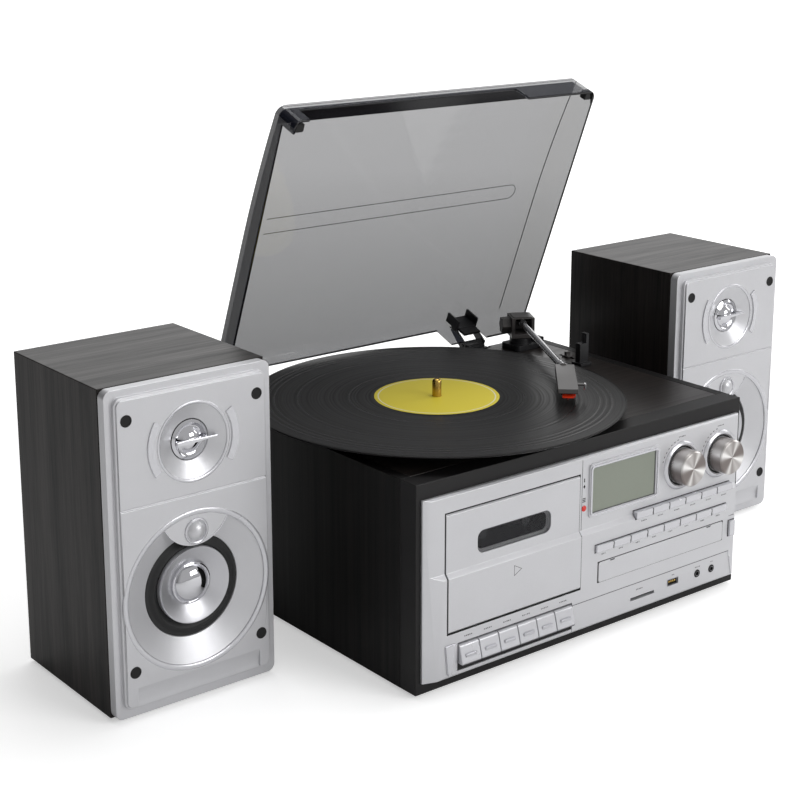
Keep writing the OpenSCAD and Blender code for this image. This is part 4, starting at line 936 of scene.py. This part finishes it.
# %% Socket band
band = [(-22.7, 35.2), (157.0, 35.2), (161.6, 14.2)]
mark_line("band_top", band[:2], 0.45, 131.9, 132.12, grey_print_and_painted_shade)
mark_line("band_end", band[1:], 1.3, 131.9, 132.45, silver_satin)
mark_line("band_left", [(-22.7, 35.2), (-22.7, 13.6)], 0.35, 131.9, 132.1, grey_print_and_painted_shade)
USB_X, CARD_X, SOCKET_Z, JACK_X = 90.5, 55.4, 24.6, (119.6, 136.8)
plate("usb_tongue", rounded_loop(USB_X - 4.8, USB_X + 4.8, SOCKET_Z + 0.2, SOCKET_Z + 2.1, 0.3, 2),
      125.5, 131.0, black_and_painted_gap_shade)
contacts = [([(USB_X + d, SOCKET_Z + 0.15), (USB_X + d, SOCKET_Z + 1.7)], False)
            for d in (-3.3, -1.1, 1.1, 3.3)]
stroke("usb_contacts", contacts, 1.1, 130.9, 131.06, gold_plate)
mark_line("usb_frame", rounded_loop(USB_X - 6.3, USB_X + 6.3, SOCKET_Z - 2.1, SOCKET_Z + 3.3, 0.4, 2), 0.5,
          128.0, 132.1, socket_steel, closed=True)
mark_line("card_frame", [(CARD_X - 13.2, SOCKET_Z - 2.3), (CARD_X + 13.2, SOCKET_Z - 2.3)], 2.0, 126.0, 129.0)
for number, x in enumerate(JACK_X, 1):
    turned(f"jack_ring_{number}",
           [(1.75, -6), (1.75, 0.1), (2.1, 0.45), (2.9, 0.45), (3.2, 0.1), (3.2, -6), (1.75, -6)],
           (x * MM, -LOWER * MM, SOCKET_Z * MM), black_and_painted_gap_shade, steps=48)
print("sockets dressed")

# %% [markdown]
# Printed captions repeat, so a second tree makes them: short bars in a row, each a little
# longer or shorter than the next by a fixed seed.

# %% A tree that sets out short bars
bars_in_row, given = bars_tree("bars_in_a_row", (("Count", WHOLE), ("Start", VECTOR), ("Step", VECTOR),
                                                 ("Bar", VECTOR), ("Seed", WHOLE), ("Finish", MATERIAL)))
row_points = add_node(bars_in_row, "GeometryNodeMeshLine",
                      {"Count": given["Count"], "Start Location": given["Start"], "Offset": given["Step"]},
                      mode="OFFSET")
uneven = add_node(bars_in_row, "FunctionNodeRandomValue",
                  {"Min": (0.55, 0.7, 1.0), "Max": (1.0, 1.0, 1.0), "Seed": given["Seed"]},
                  data_type="FLOAT_VECTOR")
set_out_bars(bars_in_row, given, row_points.outputs["Mesh"], Scale=uneven.outputs[0])
print("tree made:", bars_in_row.name)

# %% Captions in place of the printing
captions = []
for index in range(6):
    captions.append((f"key_{index}", FIRST_KEY + KEY_PITCH * index + HALF_KEY, 41.6, 5, LOWER))
    captions.append((f"source_{index}", SOURCE_ROW[1] - (index + 0.5) * BUTTON_PITCH, 86.7, 4, LOWER))
for index in range(8):
    captions.append((f"function_{index}", FUNCTION_ROW[1] - (index + 0.5) * BUTTON_PITCH, 69.9, 3, LOWER))
captions += [("card", CARD_X - 4, 29.6, 5, LOWER), ("usb", USB_X, 31.2, 2, LOWER),
             ("jack_1", JACK_X[0], 30.4, 4, LOWER), ("jack_2", JACK_X[1], 30.8, 2, LOWER),
             ("volume", 144.1, 146.2, 5, UPPER), ("tuning", 98.1, 146.2, 5, UPPER),
             ("tray", 158.7, 66.2, 4, LOWER)]
CAPTION_STEP = 1.6
for seed, (name, x, z, count, face) in enumerate(captions):
    start = (x - CAPTION_STEP / 2 * (count - 1), z, face + 0.02)
    grow(bars_in_row, "caption_" + name,
         {"Count": count, "Start": start, "Step": (CAPTION_STEP, 0.0, 0.0), "Bar": (1.15, 1.0, 0.08),
          "Seed": seed}, grey_print_and_painted_shade, "main_unit", FACING)
print(len(captions), "captions")

# %% [markdown]
# ## The arm
# The tube and its collar are bright metal; the head and the bearing block are dark plastic. The
# tube is turned along its own length and then laid in the arm's direction.

# %% Tube with its collar, finger tip, cartridge, guard and cap
PIVOT_X, PIVOT_Y, ARM_Z = 135.5, 103.0, 188.0
ARM_ANGLE, TUBE_LENGTH, SHELL_ANGLE = math.radians(240.63), 159.2, math.radians(-12)
ALONG_ARM = Matrix.Translation((PIVOT_X, PIVOT_Y, 0)) @ Matrix.Rotation(ARM_ANGLE, 4, "Z")
ALONG_SHELL = ALONG_ARM @ Matrix.Translation((TUBE_LENGTH, 0, 0)) @ Matrix.Rotation(SHELL_ANGLE, 4, "Z")


def turned_along(name, profile, start, finish, body, steps=40):
    piece = turned(name, profile, (0, 0, 0), finish, None, "up", steps)
    piece.data.transform(Matrix.Scale(MM, 4) @ ALONG_ARM @ Matrix.Translation((start, 0, ARM_Z)) @
                         Matrix.Rotation(math.radians(90), 4, "Y") @ Matrix.Scale(1 / MM, 4))
    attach(piece, body)
    return piece


turned_along("arm_tube",
             [(0, 0), (3.6, 0), (3.8, 0.4), (3.8, 3.4), (3.0, 4.2), (2.85, 5), (2.85, 138), (3.9, 138.6),
              (3.95, 139.2), (3.95, 142.4), (3.5, 142.9), (3.5, 143.9), (3.95, 144.4), (3.95, 147.6),
              (3.6, 148), (0, 148)], 5.5, arm_silver, "arm")
at_shell = Matrix.Scale(MM, 4) @ ALONG_SHELL
for name, corners, low, high, finish, edge in (
        ("lift_tip", (41.9, 46.1, 13.0, 14.8, 0.5), 184.4, 189.2, arm_silver, 0.3),
        ("cartridge_body", (44.5, 57.5, -5.6, 5.6, 1.0), 183.4, 185.8, black_and_painted_gap_shade, 0.2),
        ("stylus_guard", (43.5, 58.5, 4.7, 5.9, 0.4), 181.6, 186.6, red_plastic, 0.25)):
    plate(name, rounded_loop(*corners, 3), low, high, finish, "arm", edge, at_shell)
at_arm = Matrix.Scale(MM, 4) @ ALONG_ARM
plate("block_cap", rounded_loop(-9.5, 9.5, -9, 9, 1.5, 3), 193.6, 194.5, arm_plastic, "arm_pivot", 0.3,
      at_arm)
print("arm dressed")

# %% [markdown]
# ## Lines on the cover
# Light caught inside acrylic leaves by its edges, so the rim looks black where the plate looks
# grey: a black finish on the rim, the step and a fold line paints that shade. Two stops of black rubber sit
# at the rim, and a shallow round-ended step crosses the plate.

# %% Step and fold lines, stops and hinge webs
PLATE_IN = 196.1
stroke("cover_step", [([(-139, -17)] + arc(121.5, -10, 7, -90, 90, 10) + [(-139, -3)], False)], 0.45,
       PLATE_IN - 0.25, PLATE_IN + 0.02, acrylic_edge_painted_shade, "cover", COVER_OPEN, bow_at)
stroke("cover_fold", [([(155.0, y) for y in range(-120, 121, 12)], False)], 0.7,
       PLATE_IN - 0.3, PLATE_IN + 0.05, acrylic_edge_painted_shade, "cover", COVER_OPEN, bow_at)
for name, x, y in (("left", -151.7, -115.5), ("right", 149.5, -118.0)):
    plate("cover_stop_" + name, rounded_loop(x - 4.5, x + 4.5, y - 3.6, y + 3.6, 1.5, 4), 164.6, 171.1,
          black_rubber, "cover", 0.6, COVER_OPEN)
for name, x, half in (("left", -145.0, 4.6), ("right", 102.0, 9.6)):
    plate("hinge_web_" + name, [(x - half, 121.0), (x + half, 121.0), (x + half, 123.4), (x - half, 123.4)],
          170.6, 181.0, black_plastic, "cover", 0.3, COVER_OPEN)
print("cover dressed")

# %% [markdown]
# ## Studio
# A pale floor, a pale surround and three soft lamps. The camera sees white behind the object.

# %% Floor
floor_mesh = bpy.data.meshes.new("studio_floor")
REACH = 60.0
floor_mesh.from_pydata([(-REACH, -REACH, 0), (REACH, -REACH, 0), (REACH, REACH, 0), (-REACH, REACH, 0)], [],
                       [(0, 1, 2, 3)])
paper, tree, shader = new_finish("studio_paper", Roughness=0.9)
effect = place_effect(tree, grain, Color=(0.9, 0.9, 0.9, 1), Scale=40.0, Tint=0.01,
                      Roughness=0.9, Spread=0.02)
tree.links.new(effect["Color"], shader.inputs["Base Color"])
light_path = add_node(tree, "ShaderNodeLightPath")
shader.inputs["Emission Color"].default_value = (1, 1, 1, 1)
spot = add_node(tree, "ShaderNodeTexCoord").outputs["Object"]
away = add_node(tree, "ShaderNodeVectorMath", {0: spot}, operation="LENGTH").outputs["Value"]
far_off = remap(tree, away, 0.5, 2.2, 0.45, 1.0)
seen = calculate(tree, "MAXIMUM", light_path.outputs["Is Camera Ray"],
                 light_path.outputs["Is Transmission Ray"])
glow = calculate(tree, "MULTIPLY", seen, far_off)
tree.links.new(glow, shader.inputs["Emission Strength"])
floor = show("studio_floor", floor_mesh, paper, None)
print("floor made")

# %% Surround
world = bpy.data.worlds.new("studio_surround")
scene.world = world
world.use_nodes = True
tree = world.node_tree
sky = tree.nodes["Background"]
path = add_node(tree, "ShaderNodeLightPath")
direction = add_node(tree, "ShaderNodeTexCoord").outputs["Generated"]
aside = add_node(tree, "ShaderNodeVectorMath", {0: direction, 1: (-0.80, 0.60, 0.0)}, operation="DOT_PRODUCT")
dim = remap(tree, aside.outputs["Value"], 0.1, 0.8, 0.5, 0.03)
ahead = add_node(tree, "ShaderNodeVectorMath", {0: direction, 1: (0.60, 0.76, 0.24)}, operation="DOT_PRODUCT")
sheen = remap(tree, ahead.outputs["Value"], 0.80, 0.97, 0.0, 1.3)
bright = calculate(tree, "MAXIMUM", path.outputs["Is Camera Ray"], path.outputs["Is Transmission Ray"])
bright = calculate(tree, "MAXIMUM", bright, calculate(tree, "MULTIPLY", sheen, path.outputs["Is Glossy Ray"]))
level = calculate(tree, "MAXIMUM", bright, dim)
sky.inputs["Color"].default_value = (1, 1, 1, 1)
tree.links.new(level, sky.inputs["Strength"])
print("surround made")


# %% Lamps
def soft_lamp(name, place, aim, size, power):
    data = bpy.data.lights.new(name, "AREA")
    data.shape = "RECTANGLE"
    data.size, data.size_y = size
    data.energy = power
    lamp = bpy.data.objects.new(name, data)
    lamp.location = place
    lamp.rotation_euler = (Vector(aim) - Vector(place)).to_track_quat("-Z", "Y").to_euler()
    scene.collection.objects.link(lamp)
    return lamp


soft_lamp("front_lamp", (0.9, -2.3, 1.2), (0.0, 0.0, 0.15), (1.4, 1.0), 27.0)
soft_lamp("top_lamp", (0.3, 0.3, 2.2), (0.0, 0.0, 0.1), (1.6, 1.2), 17.0)
soft_lamp("side_lamp", (2.2, -0.4, 1.2), (0.0, 0.0, 0.2), (1.0, 1.0), 9.0)
